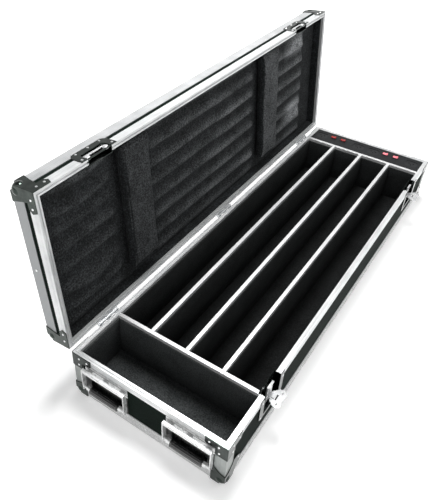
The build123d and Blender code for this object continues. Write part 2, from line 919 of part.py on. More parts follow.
def knuckle_lug(y, length):
    """A knuckle round the pin with the web that joins it to the plate."""
    x = -panel_face_x - handle_pin_out
    barrel = rod(handle_knuckle_radius, length, along_y(x, y, handle_pin_z))
    low = handle_pin_z - handle_knuckle_radius
    web = block(x, -panel_face_x - handle_plate_thickness, y - length / 2, y + length / 2,
                low, low + handle_plate_gauge)
    return barrel + web


def handle_pin_hole(radius):
    return rod(radius, 4 * handle_half_width, along_y(-panel_face_x - handle_pin_out, 0, handle_pin_z))


def handle_pin():
    length = 2 * (handle_half_width - handle_knuckle_length * 0.9) + handle_knuckle_length
    return rod(handle_pin_radius, length, along_y(-panel_face_x - handle_pin_out, 0, handle_pin_z))


def handle_springs():
    """Torsion springs on the pin, as plain sleeves between the knuckles."""
    x = -panel_face_x - handle_pin_out
    gaps = sorted(handle_dish_knuckles() + handle_bail_knuckles())
    half = handle_knuckle_length / 2
    coils = []
    for low, high in zip(gaps, gaps[1:]):
        length = high - low - 2 * half - 2 * fit_gap
        sleeve = rod(handle_knuckle_radius - 0.6, length, along_y(x, (low + high) / 2, handle_pin_z))
        sleeve -= rod(handle_pin_radius, length + 1, along_y(x, (low + high) / 2, handle_pin_z))
        coils.append(sleeve)
    return coils


def bail():
    """Pressed bail: shelf, rolled lip and two arms down to the grip bar."""
    pin_x = -panel_face_x - handle_pin_out
    out_x = -half_length - handle_reach
    z = handle_pin_z
    g = handle_plate_gauge
    top = z + handle_shelf_rise + g
    w = handle_half_width
    shelf_back = pin_x + 0.5
    shelf = block(out_x, shelf_back, -w, w, top - g, top)
    shelf += block(out_x, out_x + g, -w, w, top - handle_lip, top)
    edge = shelf.edges().filter_by(Axis.Y).sort_by_distance((out_x, 0, top))[0]
    shelf = fillet(edge, g * 0.8)
    grip_z = z - grip_drop
    grip_x = grip_centre_x()
    arm = Polyline((shelf_back, top), (out_x, top), (out_x, z - 14), (grip_x - 5, grip_z - 5),
                   (grip_x + 4.5, grip_z - 5), (grip_x + 5.5, grip_z + 8),
                   (out_x + handle_arm_depth, z - 12), (shelf_back, z + handle_knuckle_radius), close=True)
    side = extrude(Plane.XZ * make_face(arm), amount=g / 2, both=True)
    frame = shelf + Pos(0, w - g / 2, 0) * side + Pos(0, g / 2 - w, 0) * side
    half = handle_knuckle_length / 2
    for y in handle_bail_knuckles():
        frame += rod(handle_knuckle_radius, handle_knuckle_length, along_y(pin_x, y, z))
        frame += block(pin_x - 1, pin_x + 0.5, y - half, y + half, z + handle_pin_radius + 0.8, top - g / 2)
    frame += rod(grip_bar_radius, 2 * w - g, along_y(grip_x, 0, grip_z))
    for ring in ferrules():
        frame += ring
    return frame - handle_pin_hole(handle_pin_radius + running_clearance)


def grip_centre_x():
    return -half_length - handle_reach + grip_radius - 3.0


def grip():
    """Rubber sleeve with finger waves and a ferrule at each end."""
    place = along_y(grip_centre_x(), 0, handle_pin_z - grip_drop)
    sleeve = rod(grip_radius, 2 * grip_half_length, place)
    ends = sleeve.edges().filter_by(GeomType.CIRCLE)
    sleeve = fillet(ends, 2.0)
    return sleeve - rod(grip_bar_radius, 4 * grip_half_length, place)


def ferrules():
    z = handle_pin_z - grip_drop
    rings = []
    for s in (-1, 1):
        y = s * (grip_half_length + ferrule_length / 2)
        hexagon = extrude(RegularPolygon(ferrule_radius, 6), amount=ferrule_length / 2, both=True)
        rings.append(along_y(grip_centre_x(), y, z) * hexagon)
    return rings


def all_handles():
    dishes = []
    pins = []
    springs = []
    moving = {"handle_bail": bail(), "handle_grip": grip()}
    fixed = [(dishes, [handle_dish()]), (pins, [handle_pin()]), (springs, handle_springs())]
    for end, turn in (("near", 0), ("far", 180)):
        for side, y in (("left", left_handle_y), ("right", right_handle_y)):
            place = Rot(0, 0, turn) * Pos(0, y, 0)
            for store, solids in fixed:
                store.extend([place * solid for solid in solids])
            for name, solid in moving.items():
                save(name + "_" + end + "_" + side, place * solid)
    save("handle_dishes", *dishes)
    save("handle_pins", *pins)
    save("handle_springs", *springs)


# Butterfly latches

def latch_cup_room(x):
    """Space behind the front panel that a latch cup takes up."""
    w = latch_cup_width / 2 + latch_flange_gauge + soft_gap
    return block(x - w, x + w, -half_width, -half_width + latch_cup_depth + latch_flange_gauge + soft_gap,
                 parting_z - latch_cup_height - latch_flange_gauge - soft_gap, parting_z + 1)


def latch_cup_hole(x):
    w = latch_cup_width / 2 + latch_flange_gauge
    return block(x - w, x + w, -half_width - 1, -half_width + panel_thickness + 2 * skin,
                 parting_z - latch_cup_height - latch_flange_gauge, parting_z + 1)


def cup_block(width, height, depth, corner):
    """Rounded cup, open upwards: local x across, z down from 0, y inwards from 0."""
    body = block(-width / 2, width / 2, 0, depth, -height, 0)
    low = body.edges().filter_by(Axis.Y).group_by(Axis.Z)[0]
    return fillet(low, corner)


def latch_dish(x):
    """Flange over the rim, cup behind it, open at the parting plane."""
    g = latch_flange_gauge
    flange = block(-latch_flange_width / 2, latch_flange_width / 2, -g, 0, -latch_flange_height, 0)
    flange += block(-latch_flange_width / 2, latch_flange_width / 2, 0, skin, -latch_flange_height,
                    -base_rim_leg - fit_gap)
    flange = fillet(flange.edges().filter_by(Axis.Y).group_by(Axis.Z)[0], latch_flange_corner)
    cup = cup_block(latch_cup_width + 2 * g, latch_cup_height + g, latch_cup_depth + g, latch_cup_corner + g)
    hollow = Pos(0, -2 * g, 0) * cup_block(latch_cup_width, latch_cup_height, latch_cup_depth + 2 * g,
                                           latch_cup_corner)
    lift = block(-latch_cup_width / 2, latch_cup_width / 2, -2 * g, latch_cup_depth, -10, 5)
    hub_place = along_y(0, latch_cup_depth - 2.0, -spindle_drop)
    hub = rod(spindle_head_radius, 4.0, hub_place)
    bore = rod(spindle_radius + running_clearance, 20, hub_place)
    dish = flange + cup - hollow - lift + hub
    return Pos(x, -half_width, parting_z) * (dish - bore)


def spindle(x):
    """Turning spindle with a flat head that carries the wing's pin."""
    base = latch_cup_depth - 4.0 - fit_gap
    head_y = -wing_pin_out + 4.0
    tip_y = -wing_pin_out - 9.0
    shaft = rod(spindle_radius, latch_cup_depth - head_y, along_y(0, (latch_cup_depth + head_y) / 2, 0))
    collar = rod(spindle_head_radius, 2.0, along_y(0, base - 1.0, 0))
    ears = block(-wing_slot_length / 2 + fit_gap, wing_slot_length / 2 - fit_gap, tip_y, head_y + 1.0,
                 -wing_slot_width / 2, wing_slot_width / 2)
    ears = fillet(ears.edges().filter_by(Axis.Z).group_by(Axis.Y)[0], 2.4)
    pin = rod(wing_pin_radius, wing_slot_length + 7.0, along_x(0, -wing_pin_out, 0))
    return Pos(x, -half_width, parting_z - spindle_drop) * (shaft + collar + ears + pin)


def wing_outline(near_y, far_y):
    """Butterfly outline, widening from the pin to two round lobes."""
    half = wing_length / 2
    waist = wing_slot_length * 0.8
    side_y = near_y + (far_y - near_y) * 0.48
    return [
        Line((-waist, near_y), (waist, near_y)),
        Spline((waist, near_y), (half * 0.78, near_y + (side_y - near_y) * 0.4), (half, side_y),
               tangents=((1, 0), (0.2, -1))),
        ThreePointArc((half, side_y), (half * 0.94, far_y + 4.0), (half * 0.68, far_y)),
        ThreePointArc((half * 0.68, far_y), (0.0, far_y + 2.2), (-half * 0.68, far_y)),
        ThreePointArc((-half * 0.68, far_y), (-half * 0.94, far_y + 4.0), (-half, side_y)),
        Spline((-half, side_y), (-half * 0.78, near_y + (side_y - near_y) * 0.4), (-waist, near_y),
               tangents=((0.2, 1), (1, 0))),
    ]


def wing(x):
    """Butterfly wing, standing straight out of the front at rest."""
    g = wing_gauge
    near_y = -wing_pin_out - wing_tail
    far_y = near_y - wing_width
    plate = extrude(make_face(wing_outline(near_y, far_y)), amount=g / 2, both=True)
    hole = SlotOverall(wing_hole_length, wing_hole_width)
    for s in (-1, 1):
        plate -= Pos(s * wing_hole_pitch / 2, near_y - wing_width * 0.62, -g) * extrude(hole, amount=2 * g)
    slot_end = -wing_pin_out - 9.0 - 4.0
    plate -= block(-wing_slot_length / 2, wing_slot_length / 2, slot_end, near_y + 1, -g, g)
    barrel_length = 4.0
    barrel_radius = wing_pin_radius + 1.3
    for s in (-1, 1):
        centre = s * (wing_slot_length / 2 + barrel_length / 2)
        plate += rod(barrel_radius, barrel_length, along_x(centre, -wing_pin_out, 0))
    plate -= rod(wing_pin_radius + running_clearance, wing_length, along_x(0, -wing_pin_out, 0))
    return Pos(x, -half_width, parting_z - spindle_drop) * plate


def hook(x):
    """Drawn latch plate behind the spindle collar, with a window and a turned lip on top."""
    y1 = latch_cup_depth - 4.0 - 2.0 - 3 * fit_gap
    y0 = y1 - hook_gauge
    w = hook_width / 2
    top = -2.0
    low = -spindle_drop - hook_tail
    plate = block(-w, w, y0, y1, low, top)
    room = spindle_radius + 1.0
    plate -= block(-room, room, y0 - 1, y1 + 1, -spindle_drop - room - hook_travel, -spindle_drop + room)
    sill = top - 2.0
    half = hook_window_width / 2
    plate -= block(-half, half, y0 - 1, y1 + 1, sill - hook_window_height, sill)
    plate += block(-w, w, y0 - hook_lip, y1, sill, top)
    return Pos(x, -half_width, parting_z) * plate


def keeper(x):
    """Lid half of the latch: flange over the rim and angle, cup open downwards, and its bar."""
    g = latch_flange_gauge
    low = fit_gap
    flange = block(-latch_flange_width / 2, latch_flange_width / 2, -g, 0, low, keeper_height)
    flange = chamfer(flange.edges().filter_by(Axis.Y).group_by(Axis.Z)[-1], 9.0)
    cup = mirror(cup_block(latch_cup_width + 2 * g, keeper_cup_height + g, latch_cup_depth + g,
                           latch_cup_corner + g), Plane.XY)
    hollow = Pos(0, -2 * g, 0) * mirror(cup_block(latch_cup_width, keeper_cup_height, latch_cup_depth + 2 * g,
                                                  latch_cup_corner), Plane.XY)
    reach = latch_flange_width
    body = flange + (cup & block(-reach, reach, -reach, reach, low, reach)) - hollow
    bar = block(-latch_cup_width / 2, latch_cup_width / 2, fit_gap, fit_gap + keeper_bar_gauge,
                keeper_bar_rise - keeper_bar_height, keeper_bar_rise)
    return Pos(x, -half_width, parting_z) * (body + bar)


def lid_cup_hole(x):
    w = latch_cup_width / 2 + latch_flange_gauge
    return block(x - w, x + w, -half_width - 1, -half_width + latch_cup_depth + 3, parting_z - 1,
                 parting_z + keeper_cup_height + latch_flange_gauge)


def all_latches():
    save("latch_dishes", *[latch_dish(x) for x in latch_places()])
    for side, x in zip(("near", "far"), latch_places()):
        save("latch_spindle_" + side, spindle(x))
        save("latch_wing_" + side, wing(x))
        save("latch_hook_" + side, hook(x))
    save("latch_keepers", *[opened(keeper(x)) for x in latch_places()])


# Lid hinges

def knuckle_spans():
    pitch = hinge_width / hinge_knuckles
    return [(-hinge_width / 2 + i * pitch + fit_gap / 2, -hinge_width / 2 + (i + 1) * pitch - fit_gap / 2)
            for i in range(hinge_knuckles)]


def hinge_leaf(x, first, sign):
    """One leaf on the rear face: plate, webs and every second knuckle. sign is -1 for the base."""
    face = half_width - skin
    t = hinge_leaf_thickness
    r = hinge_knuckle_radius
    z_in = parting_z + sign * (r - hinge_leaf_thickness)
    z_out = parting_z + sign * (r + hinge_leaf_height)
    z_edge = parting_z + sign * r
    half = hinge_width / 2
    plate = block(x - half, x + half, face, face + t, min(z_edge, z_out), max(z_edge, z_out))
    bore = hinge_pin_radius + (0.0 if sign < 0 else running_clearance)
    for low, high in knuckle_spans()[first::2]:
        length = high - low
        middle = x + (low + high) / 2
        web = block(x + low, x + high, face, hinge_y, min(z_in, z_edge), max(z_in, z_edge))
        plate += web + rod(r, length, along_x(middle, hinge_y, parting_z))
    for dx in (-hinge_width / 3, hinge_width / 3):
        spot = Pos(x + dx, face + t, z_edge + sign * hinge_leaf_height * 0.6)
        plate += spot * Rot(-90, 0, 0) * rivet()
    return plate - rod(bore, 2 * hinge_width, along_x(x, hinge_y, parting_z))


def hinges():
    save("hinge_base_leaves", *[hinge_leaf(x, 0, -1) for x in hinge_places()])
    save("hinge_lid_leaves", *[opened(hinge_leaf(x, 1, 1)) for x in hinge_places()])
    pins = [rod(hinge_pin_radius, hinge_width, along_x(x, hinge_y, parting_z)) for x in hinge_places()]
    save("hinge_pins", *pins)


# Lid

def lid_panels():
    lid_top = parting_z + lid_height
    cutters = at_four_corners(mirror(corner_cutter(), Plane.XY), lid_top + skin)
    low = lid_bottom_z + lid_rim_web
    high = lid_panel_back_z
    top = block(-panel_face_x, panel_face_x, -panel_face_y, panel_face_y, high, lid_top)
    front = block(-panel_face_x, panel_face_x, -panel_face_y, -panel_back_y, low, high)
    back = block(-panel_face_x, panel_face_x, panel_back_y, panel_face_y, low, high)
    near = block(-panel_face_x, -panel_back_x, -panel_back_y, panel_back_y, low, high)
    far = mirror(near, Plane.YZ)
    for x in latch_places():
        front -= lid_cup_hole(x)
    named = (("lid_top_panel", [top]), ("lid_front_panel", [front]), ("lid_back_panel", [back]),
             ("lid_end_panels", [near, far]))
    for name, solids in named:
        trimmed = []
        for solid in solids:
            for cutter in cutters:
                solid -= cutter
            trimmed.append(opened(solid))
        save(name, *trimmed)


def lid_edges():
    lid_top = parting_z + lid_height
    profile = mirror(angle_profile(angle_leg, edge_radius), Plane.XZ)
    long_bar = mitred_bar(profile, case_length, angle_leg)
    short_bar = mitred_bar(profile, case_width, angle_leg)
    bars = four_sides(long_bar, short_bar, lid_top + skin)
    cutters = at_four_corners(mirror(corner_cutter(), Plane.XY), lid_top + skin)
    trimmed = []
    for bar in bars:
        for cutter in cutters:
            bar -= cutter
        trimmed.append(opened(bar))
    save("lid_edge_angles", *trimmed)
    low = lid_bottom_z + lid_rim_leg
    high = lid_top + skin - angle_leg
    upright = extrude(angle_profile(corner_angle_leg, edge_radius), amount=high - low)
    save("lid_corner_angles", *[opened(bar) for bar in at_four_corners(upright, low)])


def lid_rim():
    profile = lid_rim_profile()
    long_bar = mitred_bar(profile, case_length, rim_depth)
    short_bar = mitred_bar(profile, case_width, rim_depth)
    bars = four_sides(long_bar, short_bar, lid_bottom_z)
    for x in latch_places():
        bars[0] -= rim_notch(latch_cup_width + 2 * latch_flange_gauge, -1, x)
    for notch in hinge_notches():
        bars[1] -= notch
    save("lid_rim", *[opened(bar) for bar in bars])


def lid_linings():
    """Foam on the lid's walls and ceiling; the ceiling swells in long rows."""
    g = soft_gap
    wall_low = lid_bottom_z + rim_inner_leg + g
    wall_high = lid_panel_back_z - g
    t = lid_wall_foam
    x1 = panel_back_x - g
    y1 = panel_back_y - g
    strips = []
    for y in (-y1, y1 - t):
        strips.append(block(-x1, x1, y, y + t, wall_low, wall_high))
    for x in (-x1, x1 - t):
        strips.append(block(x, x + t, g + t - y1, y1 - g - t, wall_low, wall_high))
    for x in latch_places():
        strips[0] -= keeper_room(x)
    save("lid_wall_lining", *[opened(strip) for strip in strips])
    save("lid_ceiling_foam", opened(ceiling_foam()))


def keeper_room(x):
    w = latch_cup_width / 2 + latch_flange_gauge + soft_gap
    deep = latch_cup_depth + latch_flange_gauge + soft_gap
    return block(x - w, x + w, -half_width, -half_width + deep, parting_z - 1,
                 parting_z + keeper_cup_height + latch_flange_gauge + soft_gap)


def ceiling_foam():
    """One sheet whose lower face swells in long rows between shallow valleys."""
    edge = lid_wall_foam + 2 * soft_gap
    x1 = panel_back_x - edge
    y1 = panel_back_y - edge
    high = lid_panel_back_z - soft_gap
    low = high - lid_ceiling_foam
    pitch = 2 * y1 / bulge_rows
    curves = [Line((-y1, high), (-y1, low))]
    for i in range(bulge_rows):
        start = -y1 + i * pitch
        crest = (start + pitch / 2, low - bulge_height)
        curves.append(ThreePointArc((start, low), crest, (start + pitch, low)))
    curves.append(Line((y1, low), (y1, high)))
    curves.append(Line((y1, high), (-y1, high)))
    return extrude(Plane.YZ * make_face(curves), amount=x1, both=True)


def pad(x):
    """Foam pad across the lid, crowned along its length, with a rounded end towards the hinges."""
    high = lid_panel_back_z - soft_gap - lid_ceiling_foam - bulge_height - soft_gap
    low = parting_z + pad_face_rise
    y0 = -panel_back_y + lid_wall_foam + 2 * soft_gap + pad_front_gap
    y1 = y0 + pad_length
    crown = 2.5
    round_end = 14.0
    curves = [
        Line((y0, high), (y0, low + crown)),
        ThreePointArc((y0, low + crown), ((y0 + y1 - round_end) / 2, low), (y1 - round_end, low + crown)),
        ThreePointArc((y1 - round_end, low + crown), (y1 - round_end * 0.3, low + crown + round_end * 0.3),
                      (y1, high)),
        Line((y1, high), (y0, high)),
    ]
    body = extrude(Plane.YZ * make_face(curves), amount=pad_width / 2, both=True)
    return opened(Pos(x, 0, 0) * body)


def lid():
    lid_panels()
    lid_edges()
    lid_rim()
    lid_linings()
    save("lid_pad_near", pad(pad_near_x))
    save("lid_pad_far", pad(pad_far_x))


base_panels()
base_angles()
corner_angles()
base_rim()
braces()
ball_corners()
base_rivets()
lid_rivets()
dividers()
divider_caps()
base_lining()
channel_rails()
power_panel()
power_fittings()
all_handles()
all_latches()
hinges()
lid()
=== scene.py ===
# %% [markdown]
# # An open flight case in Blender
# The case is a long, shallow box of black laminated board, framed in aluminium extrusions, with a lid that
# stands open on its hinges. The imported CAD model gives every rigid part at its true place. This lesson
# dresses it: soft foam is modelled anew, small pressed and moulded parts get their detail, and every surface
# gets a material that is worked out from the real one.

# %% Load the frame
import json
import math

import bpy
from mathutils import Matrix, Vector, noise

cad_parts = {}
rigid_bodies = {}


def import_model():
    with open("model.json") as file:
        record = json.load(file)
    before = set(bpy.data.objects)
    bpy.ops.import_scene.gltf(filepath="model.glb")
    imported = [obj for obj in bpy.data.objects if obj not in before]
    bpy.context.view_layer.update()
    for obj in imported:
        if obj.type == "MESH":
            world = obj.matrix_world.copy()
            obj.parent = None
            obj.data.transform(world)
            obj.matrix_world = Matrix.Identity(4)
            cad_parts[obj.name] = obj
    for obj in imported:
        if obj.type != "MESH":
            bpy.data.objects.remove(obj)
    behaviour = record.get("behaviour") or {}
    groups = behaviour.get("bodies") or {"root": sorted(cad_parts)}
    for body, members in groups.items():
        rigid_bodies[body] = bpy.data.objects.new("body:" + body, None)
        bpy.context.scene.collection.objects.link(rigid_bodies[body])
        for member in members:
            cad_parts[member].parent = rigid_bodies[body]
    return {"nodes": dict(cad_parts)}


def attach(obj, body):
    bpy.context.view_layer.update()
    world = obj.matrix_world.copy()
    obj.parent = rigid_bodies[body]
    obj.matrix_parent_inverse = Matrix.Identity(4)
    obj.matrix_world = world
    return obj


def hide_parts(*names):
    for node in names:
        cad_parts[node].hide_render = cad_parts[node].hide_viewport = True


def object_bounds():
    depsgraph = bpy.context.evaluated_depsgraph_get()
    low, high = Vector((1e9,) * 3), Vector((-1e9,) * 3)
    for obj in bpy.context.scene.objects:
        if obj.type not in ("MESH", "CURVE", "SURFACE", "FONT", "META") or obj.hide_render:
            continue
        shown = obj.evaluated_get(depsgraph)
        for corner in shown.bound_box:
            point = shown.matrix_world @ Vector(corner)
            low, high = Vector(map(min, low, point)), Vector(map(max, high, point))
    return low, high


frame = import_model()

cad_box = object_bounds()
print("CAD box", [tuple(round(v, 4) for v in corner) for corner in cad_box])

# %% [markdown]
# ## The camera
# The photograph looks down on the near end of the case from its latch side. The view was worked out from the
# straight edges of the box, so the lens, the place and the tilt are set as numbers. The small shift stands
# for the crop of the photograph.

# %% Camera
photo_width, photo_height = 436, 500
focal_pixels = 578.57
lens_middle = (182.47, 223.55)  # the pixel of the photograph that the lens looks straight at
deselect = bpy.ops.object.select_all
deselect(action='DESELECT')
bpy.ops.object.camera_add(location=(-1.1932, -0.4522, 1.1395),
                          rotation=[math.radians(a) for a in (52.0338, -1.2943, -55.0973)])
camera = bpy.context.object
camera.name = "photo_camera"
camera.data.sensor_width = 36.0
camera.data.lens = focal_pixels / max(photo_width, photo_height) * camera.data.sensor_width
camera.data.shift_x = (photo_width / 2 - lens_middle[0]) / photo_height
camera.data.shift_y = (lens_middle[1] - photo_height / 2) / photo_height
camera.data.clip_start = 0.01
camera.data.clip_end = 50.0
bpy.context.scene.camera = camera
print("lens", round(camera.data.lens, 2))

# %% [markdown]
# ## Helpers for materials
# Colours are written as sRGB hex, as read off a screen, and turned to the linear values that Blender wants.
# One function adds a node, sets its fields and joins its sockets, so that each material below reads as a
# list of what it is made of.

# %% Colour and node helpers


def linear(code):
    """Turns an sRGB hex code such as '8C8F91' into linear red, green, blue and alpha."""
    parts = [int(code[i:i + 2], 16) / 255 for i in (0, 2, 4)]
    return [p / 12.92 if p <= 0.04045 else ((p + 0.055) / 1.055) ** 2.4 for p in parts] + [1.0]


def add(material, kind, inputs=None, **fields):
    """Adds one node. A socket is given a value, or another node's output to be linked to."""
    made = material.node_tree.nodes.new(kind)
    for field, value in fields.items():
        setattr(made, field, value)
    for socket, value in (inputs or {}).items():
        named = [s for s in made.inputs if s.name == socket and s.enabled]
        target = named[0] if named else made.inputs[socket]
        if isinstance(value, bpy.types.NodeSocket):
            material.node_tree.links.new(value, target)
        else:
            target.default_value = value
    return made


def maths(material, operation, *values):
    """The outcome of one Math node. The values are numbers or other nodes' outputs."""
    return add(material, 'ShaderNodeMath', dict(enumerate(values)), operation=operation).outputs[0]


def clouds(material, place, size, detail, roughness=0.5):
    """Noise from 0 to 1 of a size in metres, with finer noise added by detail and roughness."""
    return add(material, 'ShaderNodeTexNoise', {'Vector': place, 'Scale': 1 / size, 'Detail': detail,
                                                'Roughness': roughness}).outputs['Fac']


def result(node):
    """The output of a Mix node that its data type uses."""
    return [s for s in node.outputs if s.enabled][0]


def new_material(name):
    """A material without nodes, and the object's own coordinates in metres, for its patterns."""
    made = bpy.data.materials.new(name)
    made.use_nodes = True
    made.node_tree.nodes.clear()
    place = add(made, 'ShaderNodeTexCoord').outputs['Object']
    return made, place


def shade(material, **sockets):
    """Ends a material in one Principled shader, with its sockets given by name."""
    inputs = {key.replace('_', ' '): value for key, value in sockets.items()}
    shader = add(material, 'ShaderNodeBsdfPrincipled', inputs)
    add(material, 'ShaderNodeOutputMaterial', {'Surface': shader.outputs['BSDF']})
    return material


def ramp(material, factor, stops):
    """A colour ramp from a list of (position, hex code)."""
    made = add(material, 'ShaderNodeValToRGB', {'Fac': factor})
    band = made.color_ramp
    while len(band.elements) < len(stops):
        band.elements.new(0.5)
    for element, (position, code) in zip(band.elements, stops):
        element.position = position
        element.color = linear(code)
    return made.outputs['Color']


def between(material, factor, low, high):
    """Spreads a 0 to 1 factor over the range from low to high."""
    made = add(material, 'ShaderNodeMapRange', {'Value': factor, 'To Min': low, 'To Max': high})
    return made.outputs['Result']


print("helpers ready")

# %% [markdown]
# ## Anodised aluminium
# The rims, angles and capping are extruded bars, brushed along their length and clear anodised. The eye sees
# a soft bright metal with faint lines along the bar and duller patches where hands and trucks have rubbed
# it. The bars of one CAD node run in different directions, so the lines are stretched by the part of the
# case that they lie on: bars at the two ends of the case run across it.

# %% Anodised aluminium


def anodised_aluminium(name, across, dark, bright, metal=0.9, half_length=0.627, ribs=False, end_bar_shade=None):
    """Extruded and clear anodised bar. across is the direction of the end bars, which start at
    half_length from the middle. metal is its metallic share; the copies that are painted lighter get less of
    it.
    ribs darkens the grooves. The last argument, when given, is painted shade: a darker tint on the end bars,
    whose faces get less light."""
    m, place = new_material(name)
    # drawn lines are about 0.3 mm wide and run for some 300 mm, drawn coarser than life so that they show
    fine, long = 1 / 0.0009, 1 / 0.3
    along_x = add(m, 'ShaderNodeMapping', {'Vector': place, 'Scale': (long, fine, fine)})
    scale = [fine if part < 0.5 else long for part in across]
    along_end = add(m, 'ShaderNodeMapping', {'Vector': place, 'Scale': scale})
    parts = add(m, 'ShaderNodeSeparateXYZ', {'Vector': place})
    far_out = maths(m, 'ABSOLUTE', parts.outputs['X'])
    at_end = maths(m, 'GREATER_THAN', far_out, half_length)
    along_bar = result(add(m, 'ShaderNodeMix', {'Factor': at_end, 'A': along_x.outputs[0],
                                                'B': along_end.outputs[0]}, data_type='VECTOR'))
    lines = clouds(m, along_bar, 1.0, 2.0)
    # rubbed patches are about 60 mm across
    lighter_patches = clouds(m, place, 0.06, 5.0, 0.6)
    mixed = maths(m, 'MULTIPLY', lines, lighter_patches)
    drawn = maths(m, 'MULTIPLY', lines, 0.35)
    tone = maths(m, 'MULTIPLY_ADD', lighter_patches, 0.65, drawn)
    colour = ramp(m, tone, [(0.36, dark), (0.64, bright)])
    # painted shade: the end bars get a darker tint, since their faces get less light
    if end_bar_shade:
        colour = result(add(m, 'ShaderNodeMix', {'Factor': at_end, 'A': colour, 'B': linear(end_bar_shade)},
                            data_type='RGBA'))
    if ribs:
        # the grooves lie 4.5 mm apart, the lowest 6 mm above the foot, and hold dirt and shade
        pitch, lowest = 0.0045, 0.006
        turn = maths(m, 'MULTIPLY_ADD', parts.outputs['Z'], 1 / pitch, 0.5 - lowest / pitch)
        wrapped = maths(m, 'FRACT', turn)
        centred = maths(m, 'SUBTRACT', wrapped, 0.5)
        off = maths(m, 'ABSOLUTE', centred)
        groove = ramp(m, off, [(0.1, '505354'), (0.17, 'FFFFFF')])
        colour = result(add(m, 'ShaderNodeMix', {'Factor': 1.0, 'A': colour, 'B': groove},
                            data_type='RGBA', blend_type='MULTIPLY'))
    rough = between(m, mixed, 0.34, 0.42)
    bump = add(m, 'ShaderNodeBump', {'Height': lines, 'Strength': 0.03, 'Distance': 0.0003})
    return shade(m, Base_Color=colour, Metallic=metal, Roughness=rough, Normal=bump.outputs['Normal'])


# All these bars are the same clear anodised aluminium. Their copies differ in tint and metallic share as
# painted light and shade: the ribbed foot angles and the caps are painted lighter, and the lid's rim, its
# angles and the corner posts darker, for how brightly each is lit.
along_y, along_z = (0, 1, 0), (0, 0, 1)
base_aluminium = anodised_aluminium("anodised_aluminium_base", along_y, 'D8DADB', 'F4F4F4', metal=0.5)
ribbed_aluminium = anodised_aluminium("anodised_aluminium_ribbed", along_y, 'F0F1F1', 'FFFFFF',
                                      metal=0.2, ribs=True)
lid_aluminium = anodised_aluminium("anodised_aluminium_lid", along_z, 'C8CACB', 'E6E7E7', metal=0.5)
lid_angle_aluminium = anodised_aluminium("anodised_aluminium_angles", along_z, 'AEB0B1', 'D8D9DA',
                                         metal=0.65, end_bar_shade='8C8E8F')
post_aluminium = anodised_aluminium("anodised_aluminium_posts", along_z, '868A88', 'A9ADAB',
                                    half_length=0.0)
cap_aluminium = anodised_aluminium("anodised_aluminium_caps", along_y, 'DADBDC', 'F2F2F2', metal=0.4,
                                   half_length=0.505)
print(base_aluminium.name, lid_aluminium.name, post_aluminium.name, cap_aluminium.name)

# %% [markdown]
# ## Plated steel
# Ball corners, braces, latches and handle parts are pressed from sheet steel and zinc plated. The moving
# parts of latches and handles are bright. Corners, braces and latch plates get a dark tint with a faint
# green cast, which is a painted reflection of dark surroundings, and they mirror their surroundings too. All
# have a cloudy haze and small dull scratches.

# %% Zinc plate


def zinc_plate(name, dark, bright, low, high, cloud=0.02, metal=1.0, relief=0.08):
    """Zinc plated pressing. dark and bright are the ends of its tint, low and high of its roughness,
    cloud is the size of its haze in metres, and relief is how far the haze stands out."""
    m, place = new_material(name)
    haze = clouds(m, place, cloud, 6.0, 0.65)
    # scuffs are short lines about 8 mm long and over 1 mm wide, drawn wider than life so that they show
    slanted = add(m, 'ShaderNodeMapping', {'Vector': place, 'Rotation': (0.4, 0.7, 0.9),
                                           'Scale': (120, 900, 700)})
    scuffs = clouds(m, slanted.outputs[0], 1.0, 1.0)
    scuffed = ramp(m, scuffs, [(0.62, '000000'), (0.72, 'FFFFFF')])
    both = maths(m, 'MAXIMUM', haze, scuffed)
    colour = ramp(m, haze, [(0.3, dark), (0.7, bright)])
    rough = between(m, both, low, high)
    bump = add(m, 'ShaderNodeBump', {'Height': both, 'Strength': relief, 'Distance': 0.0004})
    return shade(m, Base_Color=colour, Metallic=metal, Roughness=rough, Normal=bump.outputs['Normal'])


# painted reflection: the dark tints of the corners, braces and latch plates stand in for dark surroundings
# that they mirror
corner_zinc = zinc_plate("zinc_plate_corners", '262C29', '444B47', 0.04, 0.16, relief=0.03)
brace_zinc = zinc_plate("zinc_plate_braces", '222725', '3D4340', 0.05, 0.18, relief=0.03)
latch_zinc = zinc_plate("zinc_plate_latches", 'D6D8D9', 'F2F2F3', 0.14, 0.3, metal=0.65, relief=0.02)
bail_zinc = zinc_plate("zinc_plate_bails", 'E6E8E8', 'FBFBFB', 0.2, 0.36, metal=0.35, relief=0.02)
spring_steel = zinc_plate("spring_steel", '3A3E40', '6C7072', 0.16, 0.3, cloud=0.008)
hinge_zinc = zinc_plate("zinc_plate_hinges", 'BCBFC1', 'DFE1E2', 0.2, 0.4)
rivet_metal = zinc_plate("aluminium_rivets", 'D4D6D7', 'F0F1F1', 0.22, 0.4, cloud=0.004)
print("plated steels ready")

# %% [markdown]
# The recessed handle dish is one pressing. Its folded shelf over the pin is left bright, and the cup and the
# narrow sides are sprayed black, so that the arms of the bail stand out. The colour is switched by how far a
# point lies from the middle of the case and how high it lies.

# %% Dish finish


